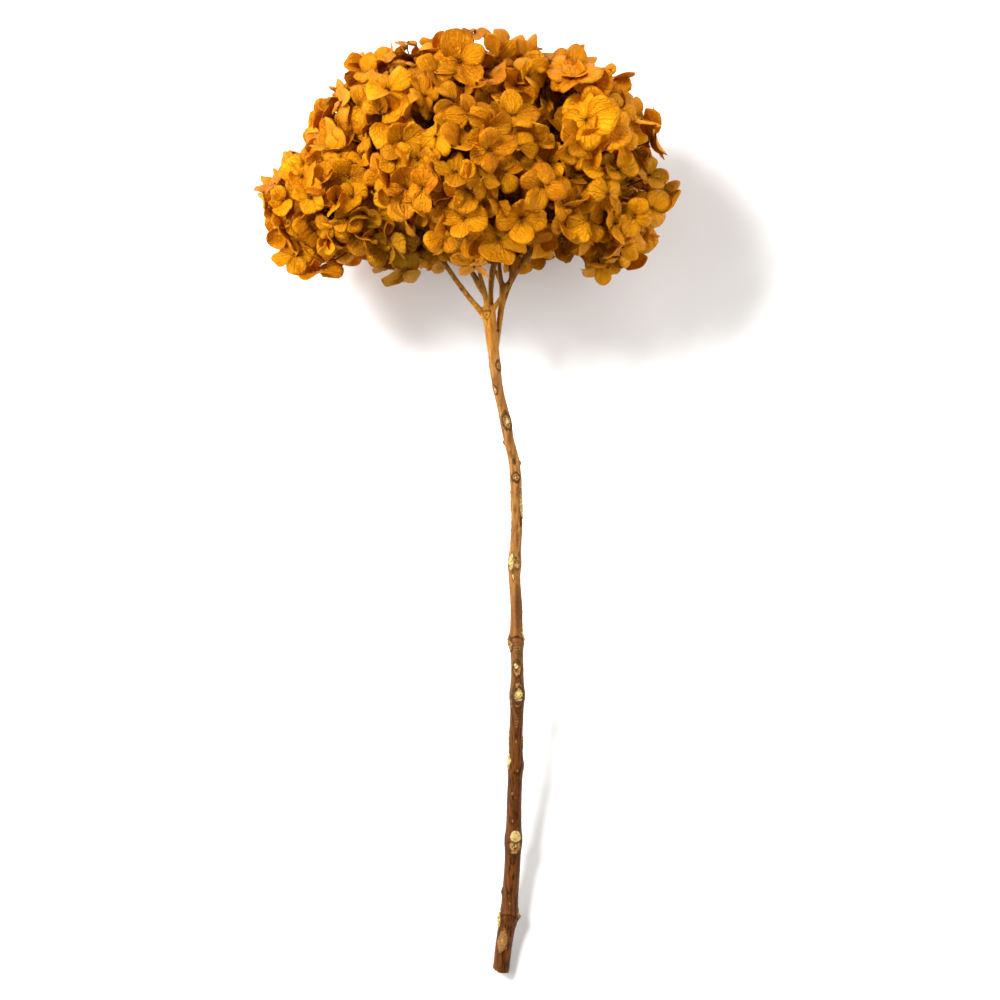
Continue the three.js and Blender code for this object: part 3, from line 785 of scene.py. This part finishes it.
def stalk_material():
    """Floret stalk, green wood dyed and dried: a dark reddish brown, finely furrowed, in paler patches."""
    material, tree = new_material("dyed_stalk")
    mottle = add(
        tree, "ShaderNodeTexNoise", {"Vector": place_in_mm(tree), "Scale": 1 / 2.8, "Detail": 3.0}
    )
    share = add(tree, "ShaderNodeMapRange", {"Value": mottle, "From Min": 0.35, "From Max": 0.7})
    face = add(
        tree, "ShaderNodeMix", {0: share, 1: colour("#3f1d08"), 2: colour("#8a4c14")}, data_type="RGBA"
    )
    bump = add(tree, "ShaderNodeBump", {"Height": mottle, "Strength": 0.4, "Distance": 0.0002})
    skin = add(
        tree,
        "ShaderNodeBsdfPrincipled",
        {
            "Base Color": face,
            "Roughness": 0.7,
            "IOR": 1.48,
            "Specular IOR Level": 0.2,
            "Specular Tint": colour("#c07030"),
            "Normal": bump,
        },
    )
    add(tree, "ShaderNodeOutputMaterial", {"Surface": skin})
    return material


def floor_material():
    """A matt white studio floor, with a trace of paper tooth."""
    material, tree = new_material("studio_floor")
    tooth = add(
        tree, "ShaderNodeTexNoise", {"Vector": place_in_mm(tree), "Scale": 1 / 1.4, "Detail": 2.0}
    )
    bump = add(tree, "ShaderNodeBump", {"Height": tooth, "Strength": 0.1, "Distance": 0.0001})
    paper = add(
        tree,
        "ShaderNodeBsdfPrincipled",
        {"Base Color": colour("#f6f5f3"), "Roughness": 0.85, "Normal": bump},
    )
    add(tree, "ShaderNodeOutputMaterial", {"Surface": paper})
    return material


def make_camera():
    data = bpy.data.cameras.new("camera")
    data.sensor_width = SENSOR_WIDTH
    data.lens = SENSOR_WIDTH * CAMERA_DISTANCE / FRAME_WIDTH
    camera = placed("camera", data)
    across, along, forward = CAMERA_AIM
    camera.location = set_down((across, along, forward + CAMERA_DISTANCE))
    camera.rotation_euler = (LEAN, 0, 0)
    bpy.context.scene.camera = camera


def make_studio():
    """A white floor, a soft key from the upper left, a weak fill and low strips that rim the head."""
    scene = bpy.context.scene
    scene.view_settings.view_transform = "Standard"
    corners = [(x * FLOOR_HALF, y * FLOOR_HALF, 0) for x, y in ((-1, -1), (1, -1), (1, 1), (-1, 1))]
    floor = placed("floor", mesh_of("floor", corners, [(0, 1, 2, 3)]))
    floor.data.materials.append(floor_material())

    world = bpy.data.worlds.new("studio")
    world.use_nodes = True
    backdrop = world.node_tree.nodes["Background"]
    backdrop.inputs["Color"].default_value = colour("#ffffff")
    backdrop.inputs["Strength"].default_value = WORLD_STRENGTH
    scene.world = world

    for name, at, size, power in LIGHTS:
        data = bpy.data.lights.new(name, "AREA")
        data.size = size
        data.energy = power
        light = placed(name, data)
        light.location = at
        to_plant = Vector(np.array(LIT_POINT) - at)
        light.rotation_euler = to_plant.to_track_quat("-Z", "Y").to_euler()


def wood_piece():
    """The stem and its branches as one skin, with every mark of the bark in it."""
    centres, radii = smooth_route(STEM_ROUTE, STEM_STEPS)
    rods = [rod(centres, radii, STEM_SIDES)]
    for route in BRANCHES.values():
        rods.append(rod(*smooth_route(route, BRANCH_STEPS), BRANCH_SIDES))
    rough = placed("rough_wood", mesh_of("rough_wood", *joined(rods)))
    join = rough.modifiers.new("join", "REMESH")
    join.mode = "VOXEL"
    join.voxel_size = WOOD_VOXEL
    mesh = bpy.data.meshes.new_from_object(rough.evaluated_get(bpy.context.evaluated_depsgraph_get()))
    bpy.data.objects.remove(rough)

    points = np.empty(len(mesh.vertices) * 3)
    mesh.vertices.foreach_get("co", points)
    bark = Bark(filleted(mesh, points.reshape(-1, 3)), centres, radii)
    bark.swell_joints()
    bark.scar()
    bark.cut_side_shoots()
    bark.mark()
    mesh.vertices.foreach_set("co", set_down(bark.moved()).ravel())
    give(mesh, bark.looks())
    mesh.shade_smooth()
    mesh.update()
    mesh.name = "woody_stem_bark"
    piece_of("woody_stem_bark", mesh, bark_material(), "woody_stem")


def filleted(mesh, skin):
    """Rounds the crotches between the branches, and takes the steps of the voxels out of the rest."""
    edges = np.empty(len(mesh.edges) * 2, int)
    mesh.edges.foreach_get("vertices", edges)
    a, b = edges.reshape(-1, 2).T
    ends = np.concatenate((a, b))
    others = np.concatenate((b, a))
    degree = np.bincount(ends, minlength=len(skin))[:, None]
    at_fork = step_between(*FORK_STARTS, skin[:, 1]) * (1 - step_between(*FORK_ENDS, skin[:, 1]))
    strength = SMOOTHING + FORK_SMOOTHING * at_fork[:, None]
    for _ in range(SMOOTHING_ROUNDS):
        mean = np.stack([np.bincount(ends, skin[others, k], len(skin)) for k in range(3)], 1) / degree
        skin = skin + (mean - skin) * strength
    return skin


def ragged(points, size):
    """A rough unevenness between about -1 and 1 over the points, in lumps of the given size."""
    x, y, z = (points / size * 2.2).T
    first = np.sin(x + 1.7 * np.sin(0.9 * y + 1.1)) * np.sin(1.1 * y + 1.3 * np.sin(1.2 * z + 0.4))
    second = np.sin(2.3 * z + 1.5 * np.sin(1.9 * x)) * np.sin(2.1 * y + 2.2 * x + 0.7)
    return 0.65 * first + 0.5 * second


def bell(values, wide):
    """1 where the values are 0, falling off to either side within about the given width."""
    return np.exp(-((values / wide) ** 2))


class Bark:
    """The skin of the wood: where its points lie on the stem, how far they swell, and how they look.

    Each point is pale and dark by a share, and knows how far off the middle of the nearest scar it is,
    with 1 on its rim, how much that one bares and how dark its rim is.
    """

    def __init__(self, points, centres, radii):
        count = len(points)
        self.points = points
        self.along = points[:, 1]
        self.radius = np.interp(self.along, centres[:, 1], radii)
        self.side = points[:, 0] - np.interp(self.along, centres[:, 1], centres[:, 0])
        self.ahead = points[:, 2] - np.interp(self.along, centres[:, 1], centres[:, 2])
        self.reach = np.hypot(self.side, self.ahead)
        self.angles = np.degrees(np.arctan2(self.side, self.ahead))
        near_stem = 1 - step_between(0.9, 1.6, self.reach - self.radius)
        self.on_stem = near_stem * (1 - step_between(366, 374, self.along))
        self.fine = ragged(points, 1.3)
        self.coarse = ragged(points + 40, 2.6)
        turned = np.radians(self.angles)
        self.swell = 0.12 * np.sin(self.along / 6.3 + turned) * np.sin(self.along / 17.1 + 1.3)
        self.swell += 0.07 * self.coarse
        self.pale = np.zeros(count)
        self.dark = np.zeros(count)
        self.nearest = np.full(count, 2.0)
        self.bared = np.zeros(count)
        self.rim = np.zeros(count)

    def off_centre(self, at, facing, half_wide, half_tall, power=2.0):
        """How far off the middle of a mark each point lies, with 1 on the mark's edge."""
        degrees_off = (self.angles - facing + 180) % 360 - 180
        across = np.abs(degrees_off * (np.radians(1) * self.radius) / half_wide)
        up = np.abs((self.along - at) / half_tall)
        return (across**power + up**power) ** (1 / power)

    def swell_joints(self):
        """The swollen joints, each with the line that the leaf bases left round it."""
        for node, thicker, facing, plain in NODES:
            self.swell += thicker * bell(self.along - node, NODE_SPREAD)
            # The line sags between the two leaves.
            sag = 1.5 * np.cos(2 * np.radians(self.angles - facing)) + 0.5 * self.coarse
            line = self.along - node - 1.6 + sag
            self.swell += plain * (0.35 * bell(line, 0.7) - 0.2 * bell(line + 1.2, 0.5))
            self.dark += plain * 0.7 * bell(line + 1.0, 0.55)

    def scar(self):
        """Leaf scars with a raised rim, and places where the bark is torn."""
        for *place, paleness, rim_strength, torn in SCARS:
            off = self.off_centre(*place, power=2 - 0.7 * torn) + 0.16 * torn * self.coarse
            within = 1 - step_between(0.8, 1.15, off)
            self.swell += 0.28 * rim_strength * bell(off - 1, 0.25)
            self.swell += within * (0.42 * torn * self.fine + 0.25 * torn - 0.15 * rim_strength)
            closest = (off < self.nearest) | (off < 1.1)
            self.nearest = np.where(closest, off, self.nearest)
            self.bared = np.where(closest, paleness, self.bared)
            self.rim = np.where(closest, rim_strength, self.rim)

    def cut_side_shoots(self):
        """Raised pale discs of rings, each with a dark edge."""
        for place in STUBS:
            off = self.off_centre(*place)
            disc = 1 - step_between(0.86, 0.98, off)
            rings = 0.1 - 0.1 * np.cos(off * 9 + 0.5 * self.fine)
            self.swell += 0.6 * disc
            self.pale = np.maximum(self.pale, disc * (0.9 + 0.1 * self.fine))
            self.dark += disc * rings + 0.8 * bell(off - 1.06, 0.12)
            self.bared *= step_between(0.9, 1.1, off)
            self.rim *= step_between(0.9, 1.1, off)

    def mark(self):
        """Dark patches, buds, rows of pale ridges, and knots on the branches."""
        for place in DARK_PATCHES:
            self.dark += 0.55 * (1 - step_between(0.4, 1.2, self.off_centre(*place) + 0.25 * self.coarse))
        for place in BUDS:
            off = self.off_centre(*place)
            self.swell += 0.9 * (1 - step_between(0, 1.15, off))
            self.dark += 0.8 * (1 - step_between(0.5, 1.1, off))
        for at, *place in RIDGES:
            within = 1 - step_between(0.6, 1.1, self.off_centre(at, *place) + 0.15 * self.fine)
            ripple = 0.5 + 0.5 * np.cos((self.along - at) * TAU / RIDGE_STEP + 0.9 * self.coarse)
            self.swell += 0.3 * within * ripple
            self.pale += 0.32 * within * ripple**2
            self.dark += 0.4 * within * (1 - ripple)
        for across, along, size in BRANCH_KNOTS:
            off = np.hypot(self.points[:, 0] - across, self.along - along) / size
            self.dark += (1 - step_between(0.4, 1.1, off)) * (self.points[:, 2] > -6)

    def age(self):
        """How old the wood looks: older and darker below a joint, and greening into tan at the top."""
        below = 0.6 * (1 - step_between(100, 191, self.along) * 0.62)
        below = 0.32 + 0.08 * (1 - step_between(200, 240, self.along)) + below
        above = 0.32 + 0.25 * (1 - step_between(200, 245, self.along))
        age = np.where(self.along > OLD_WOOD_TOP, above, below) * (1 - step_between(335, 372, self.along))
        return np.clip(age - 0.1 * (1 - step_between(0, 40, self.along)), 0, 1)

    def bract_scar(self):
        """The dark outline of the three-cornered scar of a bract, on the front of the fork."""
        across, along = BRACT_SCAR["at"]
        off_middle = np.abs(self.points[:, 0] - across) / BRACT_SCAR["half_wide"]
        off_side = self.along - along - BRACT_SCAR["rise"] * off_middle**1.5
        off_lid = self.along - along - BRACT_SCAR["rise"]
        nearer = np.minimum(np.abs(off_side), np.abs(off_lid))
        return bell(nearer, BRACT_SCAR["line"]) * (off_middle < 1) * (self.points[:, 2] > 1)

    def looks(self):
        """The numbers that the points carry: how pale, dark and old they are, and their scar."""
        dark = self.dark * np.where(self.along > 362, 1, self.on_stem)
        dark = np.clip(np.maximum(dark, 0.8 * self.bract_scar()), 0, 0.95)
        nearest = 2 - (2 - self.nearest) * self.on_stem
        # The cut end: pale wood round a soft pith, with the bark as a dark rim.
        at_cut = 1 - step_between(0.1, 0.5, self.along)
        inner = 1 - step_between(0.8, 0.92, self.reach / self.radius)
        pith = 1 - step_between(0.2, 0.3, self.reach / self.radius)
        pale = self.pale * self.on_stem * (1 - at_cut) + 0.75 * at_cut * inner
        dark = dark * (1 - at_cut) + at_cut * (0.4 * pith + 0.5 * (1 - inner))
        # Under the head the branches are painted darker, as the head's shade on them.
        painted_shade_under_head = 0.3 * step_between(376, 392, self.along) + 0.4 * step_between(396, 425, self.along)
        return {
            "marks": np.stack((np.clip(pale, 0, 1), np.maximum(dark, painted_shade_under_head), self.age()), 1),
            "scars": np.stack((nearest, self.bared, self.rim), 1),
        }

    def moved(self):
        """The points, swollen outwards on the stem, with the foot cut at a slant."""
        moved = self.points.copy()
        share = self.swell * self.on_stem * step_between(0, 1.5, self.along) / np.maximum(self.reach, 0.5)
        moved[:, 0] += self.side * share
        moved[:, 2] += self.ahead * share
        # The left side of the cut is higher: it was made with one stroke of the shears.
        at_foot = 1 - step_between(0, 6, self.along)
        moved[:, 1] += at_foot * np.maximum(-CUT_SLANT * self.side - 0.4, 0) * 0.9
        return moved


def skin_along(directions):
    """How far the lobed skin lies from the head's centre, its outward normals there, and the lobes."""
    far = np.zeros(len(directions))
    normal = np.array(directions)
    lobe = np.zeros(len(directions), int)
    for index, (at, half) in enumerate(LOBES.values()):
        start = HEAD_CENTRE - at
        square = np.array(half, float) ** 2
        a = (directions**2 / square).sum(1)
        b = (directions * start / square).sum(1)
        c = (start**2 / square).sum() - 1
        inside = b * b - a * c
        reach = (np.sqrt(np.maximum(inside, 0)) - b) / a
        further = (inside > 0) & (reach > far)
        far = np.where(further, reach, far)
        here = unit((start + directions * reach[:, None]) / square)
        normal = np.where(further[:, None], here, normal)
        lobe = np.where(further, index, lobe)
    return far, normal, lobe


def floret_places():
    """Where florets stand: each takes the free place that lies furthest from those before it.

    The solid model's florets choose among the first places. The rest also choose among more of them,
    and among places on the steep sides where one lobe stands out past the next.
    """
    draw = stream(FLORET_SEED)
    open_cone = math.cos(UNDERSIDE_HALF_ANGLE)
    directions = []
    while len(directions) < FLORET_CHOICES + MORE_CHOICES:
        rise = draw(1, -1)
        turn = draw(0, TAU)
        flat = math.sqrt(1 - rise * rise)
        direction = np.array((flat * math.cos(turn), rise, flat * math.sin(turn)))
        if direction @ UNDERSIDE_TOWARD <= open_cone:
            directions.append(direction)
    directions = np.array(directions)
    far, normals, lobes = skin_along(directions)
    close = directions @ directions[:FLORET_CHOICES].T > math.cos(SIDE_STEP)
    lowest = np.where(close, far[:, None], np.inf).min(0)
    which = [np.arange(len(directions))]
    height = [far]
    for drop in SIDE_DROPS:
        steep = np.flatnonzero(far[:FLORET_CHOICES] - drop > lowest + SIDE_MARGIN)
        which.append(steep)
        height.append(far[steep] - drop)
    which = np.concatenate(which)
    height = np.concatenate(height)
    spots = HEAD_CENTRE + directions[which] * height[:, None]
    normals = unit(normals + (directions - normals) * RADIAL)[which]
    crowding = np.array([CROWDING.get(name, 1) for name in LOBES])[lobes[which]]

    gap = np.full(len(spots), np.inf)
    order = [0]
    while len(order) < OUTER_COUNT + INNER_COUNT:
        gap = np.minimum(gap, np.linalg.norm(spots - spots[order[-1]], axis=1))
        free = gap[:FLORET_CHOICES] if len(order) < SOLID_COUNT else gap * crowding
        order.append(int(np.argmax(free)))
    names = list(LOBES)
    return spots[order], normals[order], [names[lobes[which[k]]] for k in order]


def leaning_frame(normal, lean, lean_to, spin):
    """Two directions across a facing that leans off the normal, and the facing."""
    reference = (0, 1, 0) if abs(normal[1]) < 0.9 else (1, 0, 0)
    side = unit(np.cross(reference, normal))
    ahead = np.cross(normal, side)
    facing = normal * math.cos(lean)
    facing = facing + math.sin(lean) * (side * math.cos(lean_to) + ahead * math.sin(lean_to))
    u = unit(np.cross(facing, side))
    u = u * math.cos(spin) + np.cross(facing, u) * math.sin(spin)
    return u, np.cross(facing, u), facing


def edge_pushes(spots):
    """How each spot moves out from the head's middle or in, to make the edge seen from the front."""
    seen = (spots - HEAD_CENTRE)[:, :2]
    out = np.hypot(*seen.T)
    turned = np.degrees(np.arctan2(seen[:, 1], seen[:, 0]))
    sector = np.round((turned + 180) / (360 / len(EDGE))).astype(int) % len(EDGE)
    furthest = np.zeros(len(EDGE))
    np.maximum.at(furthest, sector, out)
    around_head = np.linspace(-180, 180, len(EDGE) + 1)
    push = np.interp(turned, around_head, EDGE + EDGE[:1])
    push *= np.minimum(out / np.interp(turned, around_head, np.append(furthest, furthest[0])), 1) ** 3
    return np.column_stack((seen * (push / out)[:, None], np.zeros(len(spots))))


def cleared(at, clearings):
    """A place, moved across the head out of those clearings that reach back to it."""
    at = at.copy()
    for middle, clear, back in clearings:
        off = at[:2] - middle
        if at[2] > back:
            at[:2] += off * max(clear / np.linalg.norm(off) - 1, 0)
    return at


def grow_florets():
    """Each floret's place, frame and size, and its four sepals' length, lift and twist."""
    spots, normals, lobes = floret_places()
    pushes = edge_pushes(spots)
    hollows = [(middle, clear, HOLLOW_BACK) for middle, clear in HOLLOWS]
    grown = []
    for index, (spot, normal, lobe) in enumerate(zip(spots, normals, lobes)):
        inner = index >= OUTER_COUNT
        draw = stream(FLORET_SEED + FLORET_SEED_STEP * (index + 1))
        lean = TILT * math.sqrt(draw(0, 1))
        lean_to = draw(0, TAU)
        spin = draw(0, TAU)
        size = REACH * draw(1 - REACH_SPREAD, 1 + REACH_SPREAD)
        sepals = [
            (draw(*SEPAL_LENGTH), draw(*SEPAL_LIFT), draw(-SEPAL_TWIST, SEPAL_TWIST)) for _ in range(SEPALS)
        ]
        # Those beyond the solid model's lean more, and some stand deeper.
        sunk = 0.0
        if index >= SOLID_COUNT:
            lean *= 2
            sunk = draw(*FILL_DEPTH)
        if inner:
            sunk = draw(*INNER_DEPTH) * (DENSE_DEPTH if lobe in DENSE else 1)
        at = spot - unit(spot - HEAD_CENTRE) * sunk + pushes[index]
        normal = unit(normal + (0, 0, TURN_TO_FRONT * step_between(-25, 5, at[2])))
        grown.append(
            {
                "at": cleared(at, NOTCHES if inner else NOTCHES + hollows),
                "frame": leaning_frame(normal, lean, lean_to, spin),
                "size": size * draw(*FINER_SPREAD) * LOBE_LOOKS[lobe][3],
                "sepals": sepals,
                "lobe": lobe,
                "inner": inner,
                "press": draw(*PRESS),
                "loose": 1,
                # The inner florets outside the dense clusters get painted shade.
                "painted_shade": INNER_PAINTED_SHADE if inner and lobe not in DENSE else 0,
            }
        )
    for at, facing, size, spin in STRAYS:
        direction = unit(np.array(at) - HEAD_CENTRE)
        grown.append(
            {
                "at": np.array(at, float),
                "frame": leaning_frame(unit(np.array(facing)), 0, 0, spin),
                "size": size,
                "sepals": [(1, 0, 0)] * SEPALS,
                "lobe": list(LOBES)[skin_along(direction[None])[2][0]],
                "inner": False,
                "press": STRAY_PRESS,
                "loose": STRAY_LOOSE,
                "painted_shade": 0,
            }
        )
    return grown


class Sepals:
    """The sepals of some florets: one row of numbers for each, and the florets' own for all of theirs."""

    def __init__(self, florets, rng):
        self.rng = rng
        self.florets = len(florets)
        self.count = len(florets) * SEPALS
        self.which = np.tile(np.arange(SEPALS), len(florets))
        self.centre = self.of([floret["at"] for floret in florets])
        self.frame = self.of([floret["frame"] for floret in florets])
        self.press = self.of([floret["press"] for floret in florets])
        self.loose = self.of([floret["loose"] for floret in florets])[:, None, None]
        self.painted_shade = self.of([floret["painted_shade"] for floret in florets])
        self.look = self.of([LOBE_LOOKS[floret["lobe"]] for floret in florets])
        length, self.lift, self.turn = np.array([f["sepals"] for f in florets]).reshape(self.count, 3).T
        self.long = self.of([f["size"] for f in florets]) * length * rng.uniform(*LENGTH_SPREAD, self.count)
        self.crinkle = self.look[:, 0] * self.of(rng.uniform(*CRINKLE_SPREAD, self.florets))

    def of(self, values):
        """Numbers of the florets, repeated for each of their sepals."""
        return np.repeat(np.asarray(values, float), SEPALS, axis=0)

    def spread(self, low, high):
        """An even random number for each sepal, ready to go with its grid."""
        return self.rng.uniform(low, high, self.count)[:, None, None]


def waves(sepals, places, slow, fast):
    """A sine along the places, of a random pace and start for each sepal."""
    return np.sin(places * sepals.spread(slow, fast) + sepals.spread(0, TAU))


def sepal_grids(sepals, rings, rays):
    """The upper faces of the sepals as grids of points, with how far out and sideways each point is."""
    spread = sepals.spread
    sideways = np.linspace(-1, 1, rays + 1)[None, None, :]
    outward = (np.linspace(0, 1, rings + 1) ** 0.9)[None, :, None]
    long = sepals.long[:, None, None]
    crinkle = sepals.crinkle[:, None, None]

    # The flat blade is a fan from its base, with a round, pointed or notched tip and an uneven margin.
    turn = sideways * spread(0.72, 1.16)
    reach = np.cos(0.5 * math.pi * sideways / 1.13) ** spread(0.28, 0.62)
    reach = reach * (1 + spread(-0.05, 0.08) * np.exp(-((turn / 0.17) ** 2)))
    reach = reach * (1 + spread(0.0, 0.05) * waves(sepals, turn, 4, 10))
    radius = SEPAL_BASE + outward * (reach * long - SEPAL_BASE)
    x = radius * np.sin(turn)
    y = radius * np.cos(turn)
    t = y / long

    # It stands up or hangs back from the floret, and bends over along its midrib.
    open_floret = sepals.of(sepals.rng.uniform(-0.25, 0.55, sepals.florets))
    stance = sepals.lift + open_floret + sepals.rng.normal(0, 0.32, sepals.count)
    stance = stance + 0.22 * (sepals.crinkle - 0.9)
    stance = (stance[:, None, None] + 0.15) * sepals.loose
    bend = spread(-1.5, 0.7) * sepals.loose
    bend = np.where(np.abs(bend) < 0.02, 0.02, bend)
    slope = stance + bend * t
    run = long / bend * (np.sin(slope) - np.sin(stance))
    climb = long / bend * (np.cos(stance) - np.cos(slope))

    # Off that bent sheet it is cupped or domed, creased at the midrib, and crinkled as it dried.
    cup = sepals.rng.choice(CUPS, sepals.count, p=CUP_SHARES)
    off = cup[:, None, None] * sepals.loose * x**2 / long
    off = off - long * spread(0, 0.06) * np.exp(-((turn / 0.14) ** 2)) * np.sin(math.pi * t * 0.9)
    off = off + long * 0.055 * crinkle * outward**2 * waves(sepals, turn, 2, 4)
    off = off + long * 0.036 * crinkle**1.5 * outward**1.5 * waves(sepals, turn, 5, 8)
    off = off + long * 0.028 * crinkle**1.5 * waves(sepals, t, 5, 9) * waves(sepals, turn, 2, 5)
    off = off - long * spread(-0.7, 1.3) * np.maximum(outward - 0.66, 0) ** 2
    roll = (sepals.turn[:, None, None] * 3 + spread(-0.6, 0.6)) * t
    x, off = x * np.cos(roll) - off * np.sin(roll), off * np.cos(roll) + x * np.sin(roll)
    run = run - off * np.sin(slope)
    climb = climb + off * np.cos(slope) + np.where(sepals.which % 2, 0.0, 0.5)[:, None, None]

    corner = sepals.which * TAU / SEPALS + sepals.rng.uniform(-0.14, 0.14, sepals.count)
    u, v, facing = np.moveaxis(sepals.frame, 1, 0)
    out_way = u * np.cos(corner)[:, None] + v * np.sin(corner)[:, None]
    side_way = np.cross(out_way, facing)
    grid = sepals.centre[:, None, None]
    for amount, way in ((x, side_way), (run, out_way), (climb, facing)):
        grid = grid + amount[..., None] * way[:, None, None]
    return pressed(grid, sepals.press[:, None, None]), outward, sideways


def sepal_tones(sepals, shape, outward, sideways):
    """The attributes of the sepals' points: place on the blade, tone of the dye with painted light and
    shade in it, and wear_and_shade: crinkle, brown and painted shade.
    """
    rng = sepals.rng
    ones = np.ones(shape)
    # Each cluster's brightness and olive carry painted shade, darkest and most olive on the lower left.
    tint = sepals.look[:, 1] + sepals.of(rng.normal(0, 0.14, sepals.florets))
    tint = tint + rng.normal(0, 0.12, sepals.count)
    olive = sepals.look[:, 2] + sepals.of(rng.normal(0, 0.1, sepals.florets))
    # Low on the head the dye is thinner; on its right rim this is painted light, brighter and more olive.
    low = 1 - step_between(*THIN_BELOW, sepals.centre[:, 1])
    thin = np.maximum(low, step_between(*PAINTED_LIGHT_PAST, sepals.centre[:, 0]))
    tint = tint + THIN_DYE_AND_PAINTED_LIGHT_TINT * thin
    olive = olive + THIN_DYE_AND_PAINTED_LIGHT_OLIVE * thin
    fan = (sideways * ones, outward * ones, rng.uniform(0, 1, sepals.count)[:, None, None] * ones)
    upper_side = np.zeros(sepals.count)
    tone = [np.clip(tint, 0, 1), np.clip(olive, 0, 0.8), upper_side]
    tone = [values[:, None, None] * ones for values in tone]
    brown = np.clip(rng.normal(0.25, 0.25, sepals.count), 0, 1)
    wear_and_shade = [np.clip(sepals.crinkle / 2, 0, 1), brown, sepals.painted_shade]
    wear_and_shade = [values[:, None, None] * ones for values in wear_and_shade]
    return {"fan": np.stack(fan, -1), "tone": np.stack(tone, -1), "wear_and_shade": np.stack(wear_and_shade, -1)}


def shell_faces(rings, rays):
    """The faces of one sepal's closed shell: its upper grid, its lower one and the margin between."""
    columns = rays + 1
    layer = (rings + 1) * columns
    upper = []
    for i in range(rings):
        for j in range(rays):
            k = i * columns + j
            upper.append((k, k + 1, k + 1 + columns, k + columns))
    lower = [tuple(layer + k for k in reversed(face)) for face in upper]
    edge = list(range(rays))
    edge += [i * columns + rays for i in range(rings)]
    edge += [rings * columns + j for j in range(rays, 0, -1)]
    edge += [i * columns for i in range(rings, 0, -1)]
    margin = [(b, a, a + layer, b + layer) for a, b in zip(edge, edge[1:] + edge[:1])]
    return np.array(upper + lower + margin), len(margin)


def sepal_piece(name, florets, grid_steps, rng, material):
    """One mesh of many sepals, each a thin closed shell."""
    rings, rays = grid_steps
    sepals = Sepals(florets, rng)
    grid, outward, sideways = sepal_grids(sepals, rings, rays)
    attributes = sepal_tones(sepals, grid.shape[:3], outward, sideways)
    normal = unit(np.cross(np.gradient(grid, axis=2), np.gradient(grid, axis=1)))
    thick = SEPAL_THICK * (1 - 0.4 * outward)[..., None]
    both = np.stack((grid, grid - normal * thick), 1)
    doubled = {key: np.stack((values, values), 1) for key, values in attributes.items()}
    doubled["tone"][:, 1, ..., 2] = 1
    one, margin_count = shell_faces(rings, rays)
    starts = np.arange(len(grid)) * 2 * (rings + 1) * (rays + 1)
    faces = (one[None] + starts[:, None, None]).reshape(-1, 4)
    mesh = mesh_of(name, set_down(both.reshape(-1, 3)), faces)
    give(mesh, doubled)
    sharp = np.zeros((len(grid), len(one)), bool)
    sharp[:, -margin_count:] = True
    layer = mesh.attributes.get("sharp_face") or mesh.attributes.new("sharp_face", "BOOLEAN", "FACE")
    layer.data.foreach_set("value", sharp.ravel())
    piece_of(name, mesh, material, "flower_head")


def make_head():
    """Every floret's sepals in a piece for each cluster, then their eyes, stalks and branchlets."""
    florets = grow_florets()
    rng = np.random.RandomState(FLORET_SEED)
    material = sepal_material()
    for lobe in LOBES:
        cluster = [floret for floret in florets if floret["lobe"] == lobe and not floret["inner"]]
        grid_steps = BACK_GRID if lobe.startswith("back") else FINE_GRID
        sepal_piece("florets_" + lobe, cluster, grid_steps, rng, material)
    inner = [floret for floret in florets if floret["inner"]]
    sepal_piece("inner_florets", inner, PLAIN_GRID, rng, material)
    make_stalks(florets)


def make_stalks(florets):
    """A stalk from under each floret to the nearest hub, and a branchlet from each hub to a branch."""
    places = np.array([floret["at"] for floret in florets])
    inside = HEAD_CENTRE + (places - HEAD_CENTRE) * HUB_DEPTH
    gap = np.full(len(inside), np.inf)
    hubs = [0]
    while len(hubs) < HUB_COUNT:
        gap = np.minimum(gap, np.linalg.norm(inside - inside[hubs[-1]], axis=1))
        hubs.append(int(np.argmax(gap)))
    hubs = inside[hubs] + HUB_DROP
    ends = np.array([route[-1][:3] for route in BRANCHES.values()])
    above = EYE_START + np.linspace(0, EYE_LENGTH, len(EYE_SHAPE))[:, None]
    rods = []
    for floret in florets:
        at = floret["at"]
        facing = floret["frame"][2]
        top = at + facing * 0.1
        hub = hubs[np.argmin(np.linalg.norm(hubs - at, axis=1))]
        bend = top - facing * 0.4 * max(facing @ (top - hub), 0)
        line = pressed(bowed(top, bend, hub, STALK_STEPS), floret["press"])
        rods.append(rod(line, np.linspace(*STALK_RADII, STALK_STEPS + 1), STALK_SIDES))
        if not floret["inner"]:
            line = pressed(at + facing * above, floret["press"])
            rods.append(rod(line, EYE_RADIUS * np.array(EYE_SHAPE), EYE_SIDES))
    for hub in hubs:
        end = ends[np.argmin(np.linalg.norm(ends - hub, axis=1))]
        bend = end + (0, 12, 0) + (hub - end) * 0.3
        line = pressed(bowed(end - (0, 4, 0), bend, hub, BRANCHLET_STEPS), BRANCHLET_PRESS)
        rods.append(rod(line, np.linspace(*BRANCHLET_RADII, BRANCHLET_STEPS + 1), BRANCHLET_SIDES))
    points, faces = joined(rods)
    mesh = mesh_of("floret_stalks", set_down(points), faces)
    piece_of("floret_stalks", mesh, stalk_material(), "flower_head")


def bowed(start, bend, end, steps):
    """Points of a curve that leaves start towards bend and comes to end from it."""
    t = np.linspace(0, 1, steps + 1)[:, None]
    return (1 - t) ** 2 * start + 2 * t * (1 - t) * bend + t**2 * end


make_camera()
make_studio()
wood_piece()
make_head()
